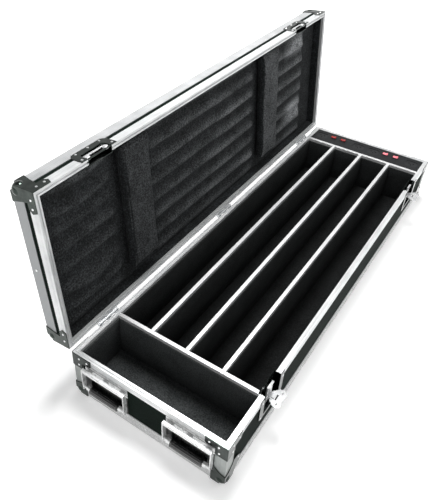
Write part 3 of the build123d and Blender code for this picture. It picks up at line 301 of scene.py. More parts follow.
def dish_plate(name, flange_plane=0.6390, shelf_low=0.0885, shelf_high=0.1152, creases=(0.0952, 0.1072)):
    """Bright zinc on the shelf, with shade in its folded creases, and black paint everywhere else.
    The plane is a distance from the middle, and the rest are heights, in metres."""
    m, place = new_material(name)
    haze = clouds(m, place, 0.02, 6.0, 0.65)
    bright = ramp(m, haze, [(0.3, 'E4E6E6'), (0.7, 'FFFFFF')])
    black = ramp(m, haze, [(0.3, '0B0C0C'), (0.7, '1A1C1D')])
    parts = add(m, 'ShaderNodeSeparateXYZ', {'Vector': place})
    out = maths(m, 'ABSOLUTE', parts.outputs['X'])
    share = maths(m, 'GREATER_THAN', out, flange_plane)
    for limit, test in ((shelf_low, 'GREATER_THAN'), (shelf_high, 'LESS_THAN')):
        within = maths(m, test, parts.outputs['Z'], limit)
        share = maths(m, 'MULTIPLY', share, within)
    # shade gathers in the creases, which are under 2 mm wide
    for crease in creases:
        rise = maths(m, 'SUBTRACT', parts.outputs['Z'], crease)
        off = maths(m, 'ABSOLUTE', rise)
        clear = maths(m, 'GREATER_THAN', off, 0.0008)
        share = maths(m, 'MULTIPLY', share, clear)
    colour = add(m, 'ShaderNodeMix', {'Factor': share, 'A': black, 'B': bright}, data_type='RGBA')
    rough = between(m, haze, 0.2, 0.36)
    bump = add(m, 'ShaderNodeBump', {'Height': haze, 'Strength': 0.05, 'Distance': 0.0004})
    return shade(m, Base_Color=result(colour), Metallic=0.35, Roughness=rough,
                 Normal=bump.outputs['Normal'])


dish_finish = dish_plate("zinc_plate_dishes")
print(dish_finish.name)

# %% [markdown]
# ## Black laminate and boards
# The walls are birch plywood faced with black phenolic film, hot pressed against a rough mould. That leaves
# a fine pebble of about a millimetre and a half, which softens the reflection. The film has a faint green
# cast. The dividers are cut from the same board.

# %% Phenolic laminate


def phenolic_laminate(name, dark, bright, rough=(0.5, 0.66), relief=0.25):
    """Film faced board with a pressed pebble grain, dull patches of 90 mm and dust of 3 mm."""
    m, place = new_material(name)
    pebble = add(m, 'ShaderNodeTexVoronoi', {'Vector': place, 'Scale': 1 / 0.0016}, feature='SMOOTH_F1')
    broad = clouds(m, place, 0.09, 6.0, 0.6)
    dust = clouds(m, place, 0.003, 3.0)
    tone = maths(m, 'MULTIPLY', broad, dust)
    colour = ramp(m, tone, [(0.15, dark), (0.4, bright)])
    roughness = between(m, broad, *rough)
    bump = add(m, 'ShaderNodeBump', {'Height': pebble.outputs['Distance'], 'Strength': relief,
                                     'Distance': 0.0006})
    return shade(m, Base_Color=colour, Roughness=roughness, IOR=1.25, Specular_IOR_Level=0.06,
                 Normal=bump.outputs['Normal'])


panel_laminate = phenolic_laminate("phenolic_laminate", '0C120F', '19241F')
divider_board = phenolic_laminate("black_board", '0C0D0D', '151616', rough=(0.55, 0.7), relief=0.15)
print("boards ready")

# %% [markdown]
# ## Foam
# The lid is padded with dark grey open cell foam and the compartments are lined with thinner black foam.
# Cells of a few millimetres, drawn coarser than life so that they show, break the surface up into specks,
# and the light dies in them, so there is no gloss. A lighter tint is painted light: where folds stand out to
# the light and where most light reaches, the foam is painted lighter. How much lighter is kept on the
# mesh, point by point, as an attribute called rise.

# %% Foam


def open_cell_foam(name, dark, middle, bright, cell, painted_light_tint):
    """Flexible foam: specks of dark cells and lighter cell walls. cell is their size in metres, and
    the last argument is the lighter tint of painted light, on folds that stand out and on lit places."""
    m, place = new_material(name)
    cells = add(m, 'ShaderNodeTexVoronoi', {'Vector': place, 'Scale': 1 / cell, 'Randomness': 1.0})
    specks = clouds(m, place, 0.8 * cell, 4.0, 0.7)
    broad = clouds(m, place, 0.05, 4.0)
    half = maths(m, 'MULTIPLY', specks, 0.8)
    tone = maths(m, 'MULTIPLY_ADD', broad, 0.2, half)
    colour = ramp(m, tone, [(0.4, dark), (0.5, middle), (0.6, bright)])
    # the share of the painted light tint is kept on the mesh, point by point
    rise = add(m, 'ShaderNodeAttribute', attribute_name="rise").outputs['Fac']
    lighter_patches = ramp(m, tone, [(0.4, painted_light_tint[0]), (0.6, painted_light_tint[1])])
    colour = result(add(m, 'ShaderNodeMix', {'Factor': rise, 'A': colour, 'B': lighter_patches}, data_type='RGBA'))
    grain = add(m, 'ShaderNodeBump', {'Height': cells.outputs['Distance'], 'Strength': 0.5,
                                      'Distance': 0.0012})
    bump = add(m, 'ShaderNodeBump', {'Height': specks, 'Strength': 0.5, 'Distance': 0.0015,
                                     'Normal': grain.outputs['Normal']})
    return shade(m, Base_Color=colour, Roughness=0.95, Specular_IOR_Level=0.2,
                 Normal=bump.outputs['Normal'])


# the last two tints are painted light, on folds that stand out and on lit places
lid_foam = open_cell_foam("charcoal_foam", '0C0D0D', '1B1D1E', '35383A', cell=0.0045,
                          painted_light_tint=('45484A', 'BEC1C3'))
lining_foam = open_cell_foam("black_lining_foam", '0A0B0B', '121313', '1D1F1F', cell=0.003,
                             painted_light_tint=('363A3A', '66696A'))
print("foams ready")

# %% [markdown]
# ## Plastics, rubber, paint and wood
# Smaller surfaces: black moulded sockets and switch frames, red translucent rocker keys with a lamp behind
# them, rubber grips, the powder coated power panel and its two wooden rests.

# %% Moulded plastic and rubber


def moulded(name, dark, bright, rough, grain=0.0012, relief=0.1, dark_below=None, **extra):
    """Moulded or coated surface with a fine even grain. Slots deeper than dark_below hold no light."""
    m, place = new_material(name)
    fine = clouds(m, place, grain, 3.0)
    broad = clouds(m, place, 0.03, 3.0)
    colour = ramp(m, broad, [(0.3, dark), (0.7, bright)])
    if dark_below:
        height = add(m, 'ShaderNodeSeparateXYZ', {'Vector': place}).outputs['Z']
        face = maths(m, 'GREATER_THAN', height, dark_below)
        colour = result(add(m, 'ShaderNodeMix', {'Factor': face, 'A': linear('020202'), 'B': colour},
                            data_type='RGBA'))
    roughness = between(m, broad, rough - 0.06, rough + 0.08)
    bump = add(m, 'ShaderNodeBump', {'Height': fine, 'Strength': relief, 'Distance': 0.0004})
    return shade(m, Base_Color=colour, Roughness=roughness, Normal=bump.outputs['Normal'], **extra)


socket_plastic = moulded("black_abs", '161719', '1E2022', 0.45, dark_below=0.1309,
                         Specular_IOR_Level=0.25)
grip_rubber = moulded("black_rubber", '0C0D0E', '171819', 0.22, Specular_IOR_Level=0.9)
panel_powder = moulded("grey_powder_coat", '101113', '191B1D', 0.55, grain=0.0009, relief=0.3,
                       Specular_IOR_Level=0.25)
dim_red = moulded("red_polycarbonate", '8C1512', 'B8221C', 0.3, Emission_Color=linear('FF2A1C'),
                  Emission_Strength=0.06)
lit_red = moulded("lit_red_polycarbonate", 'E05A60', 'F08088', 0.25, Emission_Color=linear('FF8A96'),
                  Emission_Strength=0.6)


def softwood(name):
    """Planed pine with lines of grain along Y, some 4 mm apart."""
    m, place = new_material(name)
    long = add(m, 'ShaderNodeMapping', {'Vector': place, 'Scale': (250, 6, 250)})
    grain = clouds(m, long.outputs[0], 1.0, 4.0)
    colour = ramp(m, grain, [(0.35, '8A6740'), (0.65, 'C79F6B')])
    bump = add(m, 'ShaderNodeBump', {'Height': grain, 'Strength': 0.2, 'Distance': 0.0005})
    return shade(m, Base_Color=colour, Roughness=0.7, Normal=bump.outputs['Normal'])


batten_wood = softwood("planed_pine")
print("plastics and wood ready")

# %% [markdown]
# ## Dressing the CAD parts
# Rigid parts whose shape is already right keep their CAD mesh. Each one only takes a finish.

# %% Finishes of the CAD nodes
finishes = {
    panel_laminate: ["floor_panel", "front_panel", "back_panel", "end_panels", "lid_top_panel",
                     "lid_front_panel", "lid_back_panel", "lid_end_panels"],
    base_aluminium: ["base_rim"],
    ribbed_aluminium: ["base_bottom_angles"],
    lid_aluminium: ["lid_rim"],
    lid_angle_aluminium: ["lid_edge_angles", "lid_corner_angles"],
    post_aluminium: ["base_corner_angles"],
    cap_aluminium: ["divider_caps"],
    corner_zinc: ["base_ball_corners", "lid_ball_corners"],
    brace_zinc: ["rim_corner_braces", "latch_dishes", "latch_keepers"],
    rivet_metal: ["base_rivets", "lid_rivets"],
    divider_board: ["near_divider", "far_divider", "channel_dividers"],
    panel_powder: ["power_panel"],
    batten_wood: ["power_panel_battens"],
    socket_plastic: ["socket_modules", "switch_housings"],
    dim_red: ["rocker_1", "rocker_2"],
    lit_red: ["rocker_3", "rocker_4"],
    hinge_zinc: ["hinge_base_leaves", "hinge_lid_leaves", "hinge_pins", "handle_pins"],
    dish_finish: ["handle_dishes"],
    latch_zinc: [f"latch_{part}_{end}" for part in ("spindle", "wing", "hook") for end in ("near", "far")],
    bail_zinc: [f"handle_bail_{end}_{side}" for end in ("near", "far") for side in ("left", "right")],
}
dressed = 0
for finish, names in finishes.items():
    for name in names:
        node = frame["nodes"][name]
        node.data.materials.clear()
        node.data.materials.append(finish)
        dressed += 1
print(dressed, "CAD nodes dressed of", len(frame["nodes"]))

# %% [markdown]
# ## Helpers for modelling
# New pieces are made with the same operators as by hand. Everything is deselected first, because a new
# primitive joins whatever is already selected. Each helper does one step: start a block at its size and
# place, pick a piece, cut or join pieces, apply a modifier such as a bevel, and let the finished mesh keep
# its place.

# %% Modelling helpers


def start_clean():
    """Leaves edit mode and deselects everything."""
    if bpy.context.object and bpy.context.object.mode != 'OBJECT':
        bpy.ops.object.mode_set(mode='OBJECT')
    deselect(action='DESELECT')


def pick(piece):
    """Makes one piece the only selected and active one."""
    start_clean()
    piece.select_set(True)
    bpy.context.view_layer.objects.active = piece
    return piece


def keep_place(piece):
    """Moves an object's place, turn and size into its mesh."""
    pick(piece)
    bpy.ops.object.transform_apply(location=True, rotation=True, scale=True)
    return piece


def block(name, low, high):
    """A box between two corners in metres, to be shaped further."""
    start_clean()
    middle = [(a + b) / 2 for a, b in zip(low, high)]
    bpy.ops.mesh.primitive_cube_add(size=1.0, location=middle,
                                    scale=[b - a for a, b in zip(low, high)])
    made = bpy.context.object
    made.name = name
    return keep_place(made)


def cut_into(piece, step):
    """Bisects a piece across each axis, so that its faces are no longer than the step."""
    pick(piece)
    corners = [Vector(c) for c in piece.bound_box]
    low = [min(c[i] for c in corners) for i in range(3)]
    high = [max(c[i] for c in corners) for i in range(3)]
    bpy.ops.object.mode_set(mode='EDIT')
    for axis in range(3):
        cuts = int((high[axis] - low[axis]) / step)
        for i in range(1, cuts):
            at = [0.0, 0.0, 0.0]
            at[axis] = low[axis] + (high[axis] - low[axis]) * i / cuts
            normal = [0.0, 0.0, 0.0]
            normal[axis] = 1.0
            bpy.ops.mesh.select_all(action='SELECT')
            bpy.ops.mesh.bisect(plane_co=at, plane_no=normal)
    bpy.ops.object.mode_set(mode='OBJECT')
    return piece


def apply_modifier(piece, kind, **fields):
    """Adds one modifier, sets it and applies it."""
    pick(piece)
    made = piece.modifiers.new(kind.lower(), kind)
    for field, value in fields.items():
        setattr(made, field, value)
    bpy.ops.object.modifier_apply(modifier=made.name)
    return piece


def carve(piece, low, high):
    """Cuts a box out of a piece."""
    tool = block("cutter", low, high)
    apply_modifier(piece, 'BOOLEAN', operation='DIFFERENCE', object=tool, solver='EXACT')
    bpy.data.objects.remove(tool)
    return piece


def join(name, pieces):
    """Joins pieces into one object."""
    pick(pieces[0])
    for other in pieces[1:]:
        other.select_set(True)
    if len(pieces) > 1:
        bpy.ops.object.join()
    made = bpy.context.object
    made.name = name
    return made


def smooth(piece, degrees):
    """Shades a piece smooth, but keeps edges that turn by more than the angle."""
    pick(piece)
    bpy.ops.object.shade_smooth_by_angle(angle=math.radians(degrees))
    return piece


def finish_with(piece, material):
    """Gives a piece one material in place of any others."""
    piece.data.materials.clear()
    piece.data.materials.append(material)
    return piece


def keep_rise(piece, share):
    """Writes how much painted light the foam gets at each point. share turns a vertex into a number from 0
    to 1.
    """
    kept = piece.data.attributes
    values = (kept.get("rise") or kept.new("rise", 'FLOAT', 'POINT')).data
    for vertex in piece.data.vertices:
        values[vertex.index].value = share(vertex)
    return piece


def metres(corner):
    """Turns a corner in millimetres into metres."""
    return [v / 1000 for v in corner]


hinge_y, hinge_z = 0.2055, 0.1335
open_angle = math.radians(-95.35)


def swing_open(piece):
    """Turns a piece that was made in the closed lid about the hinge line, to where the lid stands."""
    about = Vector((0.0, hinge_y, hinge_z))
    piece.matrix_world = (Matrix.Translation(about) @ Matrix.Rotation(open_angle, 4, 'X')
                          @ Matrix.Translation(-about))
    return keep_place(piece)


print("modelling helpers ready")

# %% [markdown]
# ## Foam sheets that line the compartments
# Each compartment has five glued sheets: one on the floor and four up the walls. A hand cut sheet has soft
# edges and is never quite flat, so each block is cut into a fine mesh, its edges are rounded, and its
# surface is moved in and out by a fraction of a millimetre.

# %% Foam sheets


def ripple(piece, amount, length, seed):
    """Moves each vertex along its normal by smooth noise with the given wave length in metres."""
    mesh = piece.data
    shift = Vector((seed, 0, 0))
    moves = [v.normal * noise.noise(v.co / length + shift) * amount for v in mesh.vertices]
    for vertex, move in zip(mesh.vertices, moves):
        vertex.co += move
    mesh.update()
    return piece


def foam_sheet(name, low, high, seed, cuts=()):
    """A foam sheet in millimetres, with boxes cut out of it, rounded and slightly uneven."""
    sheet = block(name, metres(low), metres(high))
    for cut_low, cut_high in cuts:
        carve(sheet, metres(cut_low), metres(cut_high))
    apply_modifier(sheet, 'BEVEL', width=0.0011, segments=2, limit_method='ANGLE')
    cut_into(sheet, 0.03)
    return ripple(sheet, 0.0003, 0.05, seed)


# lengths are in millimetres, and a gap keeps each sheet clear of its neighbours
panel_t, sheet_t, gap = 9.0, 4.0, 0.3
wall, end_wall = 189.5, 629.5  # the inner faces of the long walls and of the end walls
sheet_top = 123.2
latch_places = (-460, 460)
# the foam is cut away behind each latch dish
latch_rooms = [((x - 36, -201, 69), (x + 36, -183.5, 135)) for x in latch_places]


def lined_compartment(x0, x1, y0, y1, seed):
    """The five sheets of one compartment, given by its bare walls in millimetres."""
    low = panel_t + gap
    up = low + sheet_t + gap
    rooms = latch_rooms if y0 == -wall else ()
    made = [foam_sheet("sheet", (x0 + gap, y0 + gap, low), (x1 - gap, y1 - gap, low + sheet_t), seed)]
    for y, cuts in ((y0 + gap, rooms), (y1 - gap - sheet_t, ())):
        made.append(foam_sheet("sheet", (x0 + gap, y, up), (x1 - gap, y + sheet_t, sheet_top),
                               seed + y, cuts))
    inset = 2 * gap + sheet_t
    for x in (x0 + gap, x1 - gap - sheet_t):
        made.append(foam_sheet("sheet", (x, y0 + inset, up), (x + sheet_t, y1 - inset, sheet_top),
                               seed + x))
    return made


board = 3.25  # half the thickness of a divider
near_wall, far_wall = -492.0, 552.0  # the middles of the two cross dividers
board_end = 188  # half the width that the long dividers share out evenly
channel = (2 * board_end - 3 * 2 * board) / 4
boards_y = [-board_end + channel + board + i * (channel + 2 * board) for i in range(3)]
lows = [-wall] + [y + board for y in boards_y]
highs = [y - board for y in boards_y] + [wall]
sheets = lined_compartment(-end_wall, near_wall - board, -wall, wall, 1.0)
for i in range(4):
    sheets += lined_compartment(near_wall + board, far_wall - board, lows[i], highs[i], 5.0 + i)
linings = smooth(join("compartment_foam", sheets), 50)
# shares of the painted light tint: most in the open near compartment, little on the channels' walls, and
# least on their floors, which lie in shade
near_room_light, wall_light, floor_shade = 0.55, 0.14, 0.03


def lining_light(vertex):
    """Painted light and shade: the near compartment, most open to the light, gets the lightest tint, and the
    floors of the channels are painted dark.
    """
    if vertex.co.x < (near_wall - 1) / 1000:
        return near_room_light
    return floor_shade if vertex.co.z < (panel_t + 2 * gap + sheet_t) / 1000 else wall_light


keep_rise(linings, lining_light)
finish_with(linings, lining_foam)
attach(linings, "case_base")
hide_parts("compartment_linings")
print("compartment foam faces", len(linings.data.polygons))

# %% [markdown]
# ## Foam rails in the channels
# A strip of foam runs along one side of each channel and steadies what lies in it. Its upper edges are
# rounded, and it sags a little between the places where it is glued.

# %% Channel rails
rails = []
rail_low, rail_high = 13.6, 79.6
rail_width, rail_end_gap = 16, 18
rail_starts = [-wall - 2 * board] + boards_y
for i, y in enumerate(rail_starts):
    y0 = y + board + sheet_t + 2 * gap
    x0, x1 = near_wall + board + rail_end_gap, far_wall - board - rail_end_gap
    cuts = latch_rooms if i == 0 else ()
    rail = block("rail", metres((x0, y0, rail_low)), metres((x1, y0 + rail_width, rail_high)))
    for low, high in cuts:
        carve(rail, metres(low), metres(high))
    apply_modifier(rail, 'BEVEL', width=0.0035, segments=4, limit_method='ANGLE')
    cut_into(rail, 0.025)
    rails.append(ripple(rail, 0.0008, 0.08, 20.0 + i))
channel_rails = smooth(join("channel_rails", rails), 50)
# the rails get a little of the painted light tint
keep_rise(channel_rails, lambda vertex: 0.1)
finish_with(channel_rails, lining_foam)
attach(channel_rails, "case_base")
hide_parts("channel_foam_rails")
print("rail faces", len(channel_rails.data.polygons))

# %% [markdown]
# ## The lid's wall foam
# Four thin strips stand along the lid's walls, notched where the latch keepers stand in.

# %% Lid wall foam
# in millimetres: the height where base and lid part, the lid's depth, the rim's inner leg, and a strip
parting, lid_depth, rim_leg, strip_t = 133.5, 53.5, 9.0, 5.0
strip_low, strip_high = parting + gap + rim_leg + gap, parting + lid_depth - gap
strip_y, strip_x = wall - gap, end_wall - gap
keeper_rooms = [((x - 36, -201, 130), (x + 36, -183.5, 160)) for x in latch_places]
strips = []
for y, cuts in ((-strip_y, keeper_rooms), (strip_y - strip_t, ())):
    strips.append(foam_sheet("strip", (-strip_x, y, strip_low), (strip_x, y + strip_t, strip_high),
                             40.0 + y, cuts))
for x in (-strip_x, strip_x - strip_t):
    strips.append(foam_sheet("strip", (x, -strip_y + strip_t + gap, strip_low),
                             (x + strip_t, strip_y - strip_t - gap, strip_high), 50.0 + x))
wall_foam = swing_open(smooth(join("lid_wall_foam", strips), 50))
finish_with(wall_foam, lid_foam)
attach(wall_foam, "lid")
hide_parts("lid_wall_lining")
print("lid wall foam faces", len(wall_foam.data.polygons))

# %% [markdown]
# ## The lid's swelling ceiling foam
# A thick sheet is pressed into the lid and pushed up in long soft folds, because it was cut a little too
# wide. It could be simulated, but the folds lie where the pads pin the sheet, so it is simpler to shape
# them: a fine grid is moved by folds that run along the lid, each with a soft swell and a steep edge, and
# that fade at the borders and under the pads. The grid is then drawn back to a flat face, which is glued to
# the lid.

# %% Ceiling foam
sheet_x, sheet_y, thickness = 0.6239, 0.1839, 0.022  # half the length, half the width, in metres
ceiling_z = strip_high / 1000
pad_centres = (-0.348, 0.281)
pad_half = 0.052
fold_pitch, fold_start = 0.049, -0.109  # from edge to edge, and where one edge lies


def ease(value):
    """A smooth step from 0 to 1."""
    value = min(max(value, 0.0), 1.0)
    return value * value * (3 - 2 * value)


def fold_phase(x, y):
    """Where a point lies in its fold, from 0 behind the last edge to 1 at the next one."""
    # beside the near pad two folds bow outward, halfway between the pad and the end
    middle = math.cos(math.pi * min(abs(x + 0.505) / 0.21, 0.5)) if x < pad_centres[0] else 0.0
    bulge = 0.022 * math.exp(-((y + 0.12) / 0.04) ** 2) + 0.028 * math.exp(-((y - 0.11) / 0.04) ** 2)
    # long and short waves keep the folds from running straight
    drift = 0.07 * noise.noise(Vector((x * 5.0, y * 4.0, 7.0)))
    drift += 0.03 * noise.noise(Vector((x * 19, y * 9, 2.0)))
    return ((y - middle * bulge - fold_start) / fold_pitch + drift) % 1.0


def fold_share(x, y):
    """How full a fold is at a point: it swells away from the edge before it and drops at the next one."""
    t = fold_phase(x, y)
    full = ease((t - 0.1) / 0.72) if t < 0.82 else 1 - ease((t - 0.82) / 0.18)
    uneven = 0.75 + 0.45 * noise.noise(Vector((x * 7.0, y * 22.0, 3.0)))
    from_pad = min(max(abs(x - centre) - pad_half, 0.0) for centre in pad_centres)
    from_edge = min((sheet_x - abs(x)) / 0.04, (sheet_y - abs(y)) / 0.015, ease((0.552 - x) / 0.02), 1.0)
    return full * uneven * ease(from_pad / 0.03) * max(from_edge, 0.0)


def fold_depth(x, y):
    """How far the foam stands out of its flat face at one place, in metres."""
    small = noise.noise(Vector((x * 40.0, y * 60.0, 5.0)))
    return 0.0075 * fold_share(x, y) + 0.0004 * small - 0.001


def fold_light(x, y):
    """How much painted light the foam gets at one place, from 0 to 1: painted highlights on the crests,
    growing towards the far end, and two patches near the far end with the most painted light."""
    # painted light grows from the near end towards the far end
    lit_towards_far = 0.2 + 0.8 * ease((x + 0.6) / 1.0)
    crest = lit_towards_far * fold_share(x, y) ** 1.6
    far_end = ease((x - 0.40) / 0.10) * ease((0.545 - x) / 0.015)
    patch = sum(math.exp(-((y - at) / wide) ** 4) for at, wide in ((-0.132, 0.03), (0.088, 0.032)))
    return min(0.02 + 0.55 * crest + 1.4 * far_end * patch * (0.6 + 0.4 * crest), 1.0)


start_clean()
bpy.ops.mesh.primitive_grid_add(x_subdivisions=250, y_subdivisions=90, size=1.0,
                                location=(0, 0, ceiling_z - thickness), scale=(1, 1, 1))
ceiling = bpy.context.object
ceiling.name = "lid_ceiling"
ceiling.scale = (2 * sheet_x, 2 * sheet_y, 1.0)
keep_place(ceiling)
for vertex in ceiling.data.vertices:
    vertex.co.z -= fold_depth(vertex.co.x, vertex.co.y)
keep_rise(ceiling, lambda vertex: fold_light(vertex.co.x, vertex.co.y))
pick(ceiling)
bpy.ops.object.mode_set(mode='EDIT')
bpy.ops.mesh.select_all(action='SELECT')
bpy.ops.mesh.extrude_region_move(TRANSFORM_OT_translate={"value": (0, 0, thickness)})
bpy.ops.transform.resize(value=(1, 1, 0), center_override=(0, 0, ceiling_z))
bpy.ops.mesh.select_all(action='SELECT')
bpy.ops.mesh.normals_make_consistent(inside=False)
bpy.ops.object.mode_set(mode='OBJECT')
smooth(swing_open(ceiling), 40)
finish_with(ceiling, lid_foam)
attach(ceiling, "lid")
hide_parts("lid_ceiling_foam")
print("ceiling foam faces", len(ceiling.data.polygons))

# %% [markdown]
# ## The two foam pads
# Two blocks of softer foam cross the lid and press on what lies in the channels. Their sides bulge and their
# corners are soft. One block is remeshed and blown up slightly as a piece of cloth with pressure inside, its
# movement is capped, and the second pad is a copy. The lighter tint on the pads is painted light: the side
# that looks to the near end lies in its own shade, so it gets none, and neither does the near pad's seam.
# The far pad's face gets more painted light than the near one.

# %% Foam pads
pad_side = pad_half - 0.002  # room for the sides to bulge
pad_low = (pad_centres[0] - pad_side, -0.1799, 0.1380)
pad_high = (pad_centres[0] + pad_side, 0.1481, 0.1600)


def swell(piece, cap=0.003, frames=14):
    """Runs a short cloth simulation with pressure, and keeps each point within the cap."""
    before = [v.co.copy() for v in piece.data.vertices]
    pick(piece)
    cloth = piece.modifiers.new("cloth", 'CLOTH')
    cloth.settings.quality = 4
    cloth.settings.use_pressure = True
    cloth.settings.uniform_pressure_force = 4.0
    cloth.settings.effector_weights.gravity = 0.0
    cloth.point_cache.frame_start = 1
    cloth.point_cache.frame_end = frames + 1
    for step in range(1, frames + 1):
        bpy.context.scene.frame_set(step)
    bpy.ops.object.modifier_apply(modifier=cloth.name)
    bpy.context.scene.frame_set(1)
    for vertex, start in zip(piece.data.vertices, before):
        move = vertex.co - start
        if move.length > cap:
            vertex.co = start + move.normalized() * cap
    piece.data.update()
    return piece


pad = block("lid_pad_soft_near", pad_low, pad_high)
apply_modifier(pad, 'BEVEL', width=0.006, segments=3, limit_method='ANGLE')
apply_modifier(pad, 'REMESH', mode='VOXEL', voxel_size=0.005)
swell(pad)
ripple(pad, 0.0008, 0.03, 3.0)
apply_modifier(pad, 'SUBSURF', levels=1, render_levels=1)
seam_x, seam_half = pad_low[0] + 0.011, 0.0016


def looks_near(vertex):
    """True on the side that looks to the near end and lies in its own shade."""
    return vertex.normal.x < -0.5


def on_seam(vertex):
    """True in the glued seam, 11 mm in from the near side."""
    return abs(vertex.co.x - seam_x) < seam_half


keep_rise(pad, lambda vertex: 0.0 if looks_near(vertex) or on_seam(vertex) else 0.1)
pick(pad)
bpy.ops.object.duplicate()
second_pad = bpy.context.object
second_pad.name = "lid_pad_soft_far"
second_pad.location.x = pad_centres[1] - pad_centres[0]
keep_place(second_pad)
keep_rise(second_pad, lambda vertex: 0.0 if looks_near(vertex) else 0.24)
for piece, node in ((pad, "lid_pad_near"), (second_pad, "lid_pad_far")):
    smooth(swing_open(piece), 60)
    finish_with(piece, lid_foam)
    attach(piece, "lid")
    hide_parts(node)
print("pad faces", len(pad.data.polygons))

# %% [markdown]
# ## Catches in the latch keepers
# In each keeper cup of the lid sits a bright pressed catch: a frame round the hook's window that ends in two
# rolled lugs. The frame is a block with its window cut out and its edges rounded, and the lugs are short
# discs with rounded rims. They stay beside and above the path of the hook.

# %% Keeper catches
catch_low, catch_high = parting + 5.5, parting + 22.0
catch_half, window_half, lug_place = 30, 24, 27  # from the latch's middle, in millimetres
lug_radius, lug_depth = 0.0068, 0.007


def disc(name, place, radius, depth):
    """A short disc that faces the front, with rounded rims, in metres."""
    start_clean()
    bpy.ops.mesh.primitive_cylinder_add(vertices=32, radius=radius, depth=depth, location=place,
                                        rotation=(math.radians(90), 0, 0))
    made = keep_place(bpy.context.object)
    made.name = name
    return apply_modifier(made, 'BEVEL', width=radius * 0.35, segments=3, limit_method='ANGLE')


def keeper_catch(name, x):
    """The frame and its two lugs, about one latch's middle in millimetres."""
    frame_piece = block("catch_frame", metres((x - catch_half, -197.5, catch_low)),
                        metres((x + catch_half, -194.5, catch_high)))
    carve(frame_piece, metres((x - window_half, -200, catch_low - 1)),
          metres((x + window_half, -190, catch_high - 5)))
    apply_modifier(frame_piece, 'BEVEL', width=0.0009, segments=3, limit_method='ANGLE')
    lugs = [disc("catch_lug", metres((x + side * lug_place, -196.5, catch_low + 5)), lug_radius, lug_depth)
            for side in (-1, 1)]
    return smooth(join(name, [frame_piece] + lugs), 40)


for side, x in zip(("near", "far"), latch_places):
    catch = swing_open(keeper_catch(f"keeper_catch_{side}", x))
    finish_with(catch, latch_zinc)
    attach(catch, "lid")
    print(catch.name, len(catch.data.polygons), "faces")

# %% [markdown]
# ## Coil springs of the handles
# Four coils of spring wire lie on each handle's pin, between its knuckles, and pull the grip back to the
# case. Each coil is one small circle that the Screw modifier winds round the pin.

# %% Handle springs


def coil(name, start, length, radius, wire, turns):
    """A coil wound along Y from a start point, in metres."""
    start_clean()
    bpy.ops.mesh.primitive_circle_add(vertices=8, radius=wire, location=(radius, 0, 0),
                                      rotation=(math.radians(90), 0, 0))
    made = keep_place(bpy.context.object)
    made.name = name
    apply_modifier(made, 'SCREW', axis='Y', angle=2 * math.pi * turns, screw_offset=length,
                   steps=16 * turns, render_steps=16 * turns, use_normal_calculate=True)
    made.location = start
    return keep_place(made)


# the near handles' places in metres, which the far end repeats with half a turn
handle_left, handle_right = 0.1065, -0.1125
pin_x, pin_z = 0.6473, 0.102
knuckles = [0.0464 * share for share in (-1.0, -0.5, 0.0, 0.5, 1.0)]
knuckle_width, play, end_room = 0.014, 0.0008, 0.0006
coils = []
for sign in (1, -1):
    end_x = -sign * pin_x
    for y in (sign * handle_left, sign * handle_right):
        for low, high in zip(knuckles, knuckles[1:]):
            spare = high - low - knuckle_width - play
            start = (end_x, y + (low + high) / 2 - spare / 2 + end_room, pin_z)
            coils.append(coil("coil", start, spare - 2 * end_room, radius=0.0031, wire=0.00055, turns=7))
springs = smooth(join("handle_coils", coils), 60)
finish_with(springs, spring_steel)
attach(springs, "case_base")
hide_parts("handle_springs")
print("spring faces", len(springs.data.polygons))

# %% [markdown]
# ## Rubber grips
# The grip is a moulded rubber sleeve on the handle's bar, with a collar at each end and flutes along its
# length that keep a hand from slipping. A circle is drawn out ring by ring, wider and narrower, as it would
# be turned on a lathe, and then the sleeve is drawn in along twelve lines to make the flutes.

# %% Grips


def turned(name, rings, place, sides):
    """Draws a circle out along Y through (position, radius) rings, and closes both ends."""
    start_clean()
    first_at, first_r = rings[0]
    bpy.ops.mesh.primitive_circle_add(vertices=sides, radius=first_r, fill_type='NGON',
                                      location=(0, first_at, 0), rotation=(math.radians(90), 0, 0))
    made = keep_place(bpy.context.object)
    made.name = name
    pick(made)
    bpy.ops.object.mode_set(mode='EDIT')
    bpy.ops.mesh.select_all(action='SELECT')
    at, radius = first_at, first_r
    for next_at, next_r in rings[1:]:
        bpy.ops.mesh.extrude_region_move(TRANSFORM_OT_translate={"value": (0, next_at - at, 0)})
        ratio = next_r / radius
        bpy.ops.transform.resize(value=(ratio, 1, ratio), center_override=(0, next_at, 0))
        at, radius = next_at, next_r
    bpy.ops.mesh.select_all(action='SELECT')
    bpy.ops.mesh.normals_make_consistent(inside=False)
    bpy.ops.object.mode_set(mode='OBJECT')
    made.location = place
    return keep_place(made)


grip_x, grip_z, half_grip = 0.6483, 0.048, 0.0399
flutes = 12
# the profile from end to end: a rounded collar, a groove beside it, and the slightly swelling sleeve
rings = [(-half_grip, 0.0070), (-half_grip + 0.0008, 0.0086), (-half_grip + 0.0035, 0.0090),
         (-half_grip + 0.0045, 0.0082), (-half_grip + 0.0065, 0.0088), (0.0, 0.0091),
         (half_grip - 0.0065, 0.0088), (half_grip - 0.0045, 0.0082), (half_grip - 0.0035, 0.0090),
         (half_grip - 0.0008, 0.0086), (half_grip, 0.0070)]


def flute(piece, depth=0.0007):
    """Draws the sleeve in between its ribs. The collars at both ends stay round."""
    for vertex in piece.data.vertices:
        if abs(vertex.co.y) < half_grip - 0.005:
            angle = math.atan2(vertex.co.x, vertex.co.z)
            inward = depth * (0.5 + 0.5 * math.cos(flutes * angle))
            radius = math.hypot(vertex.co.x, vertex.co.z)
            vertex.co.x *= 1 - inward / radius
            vertex.co.z *= 1 - inward / radius
    return piece


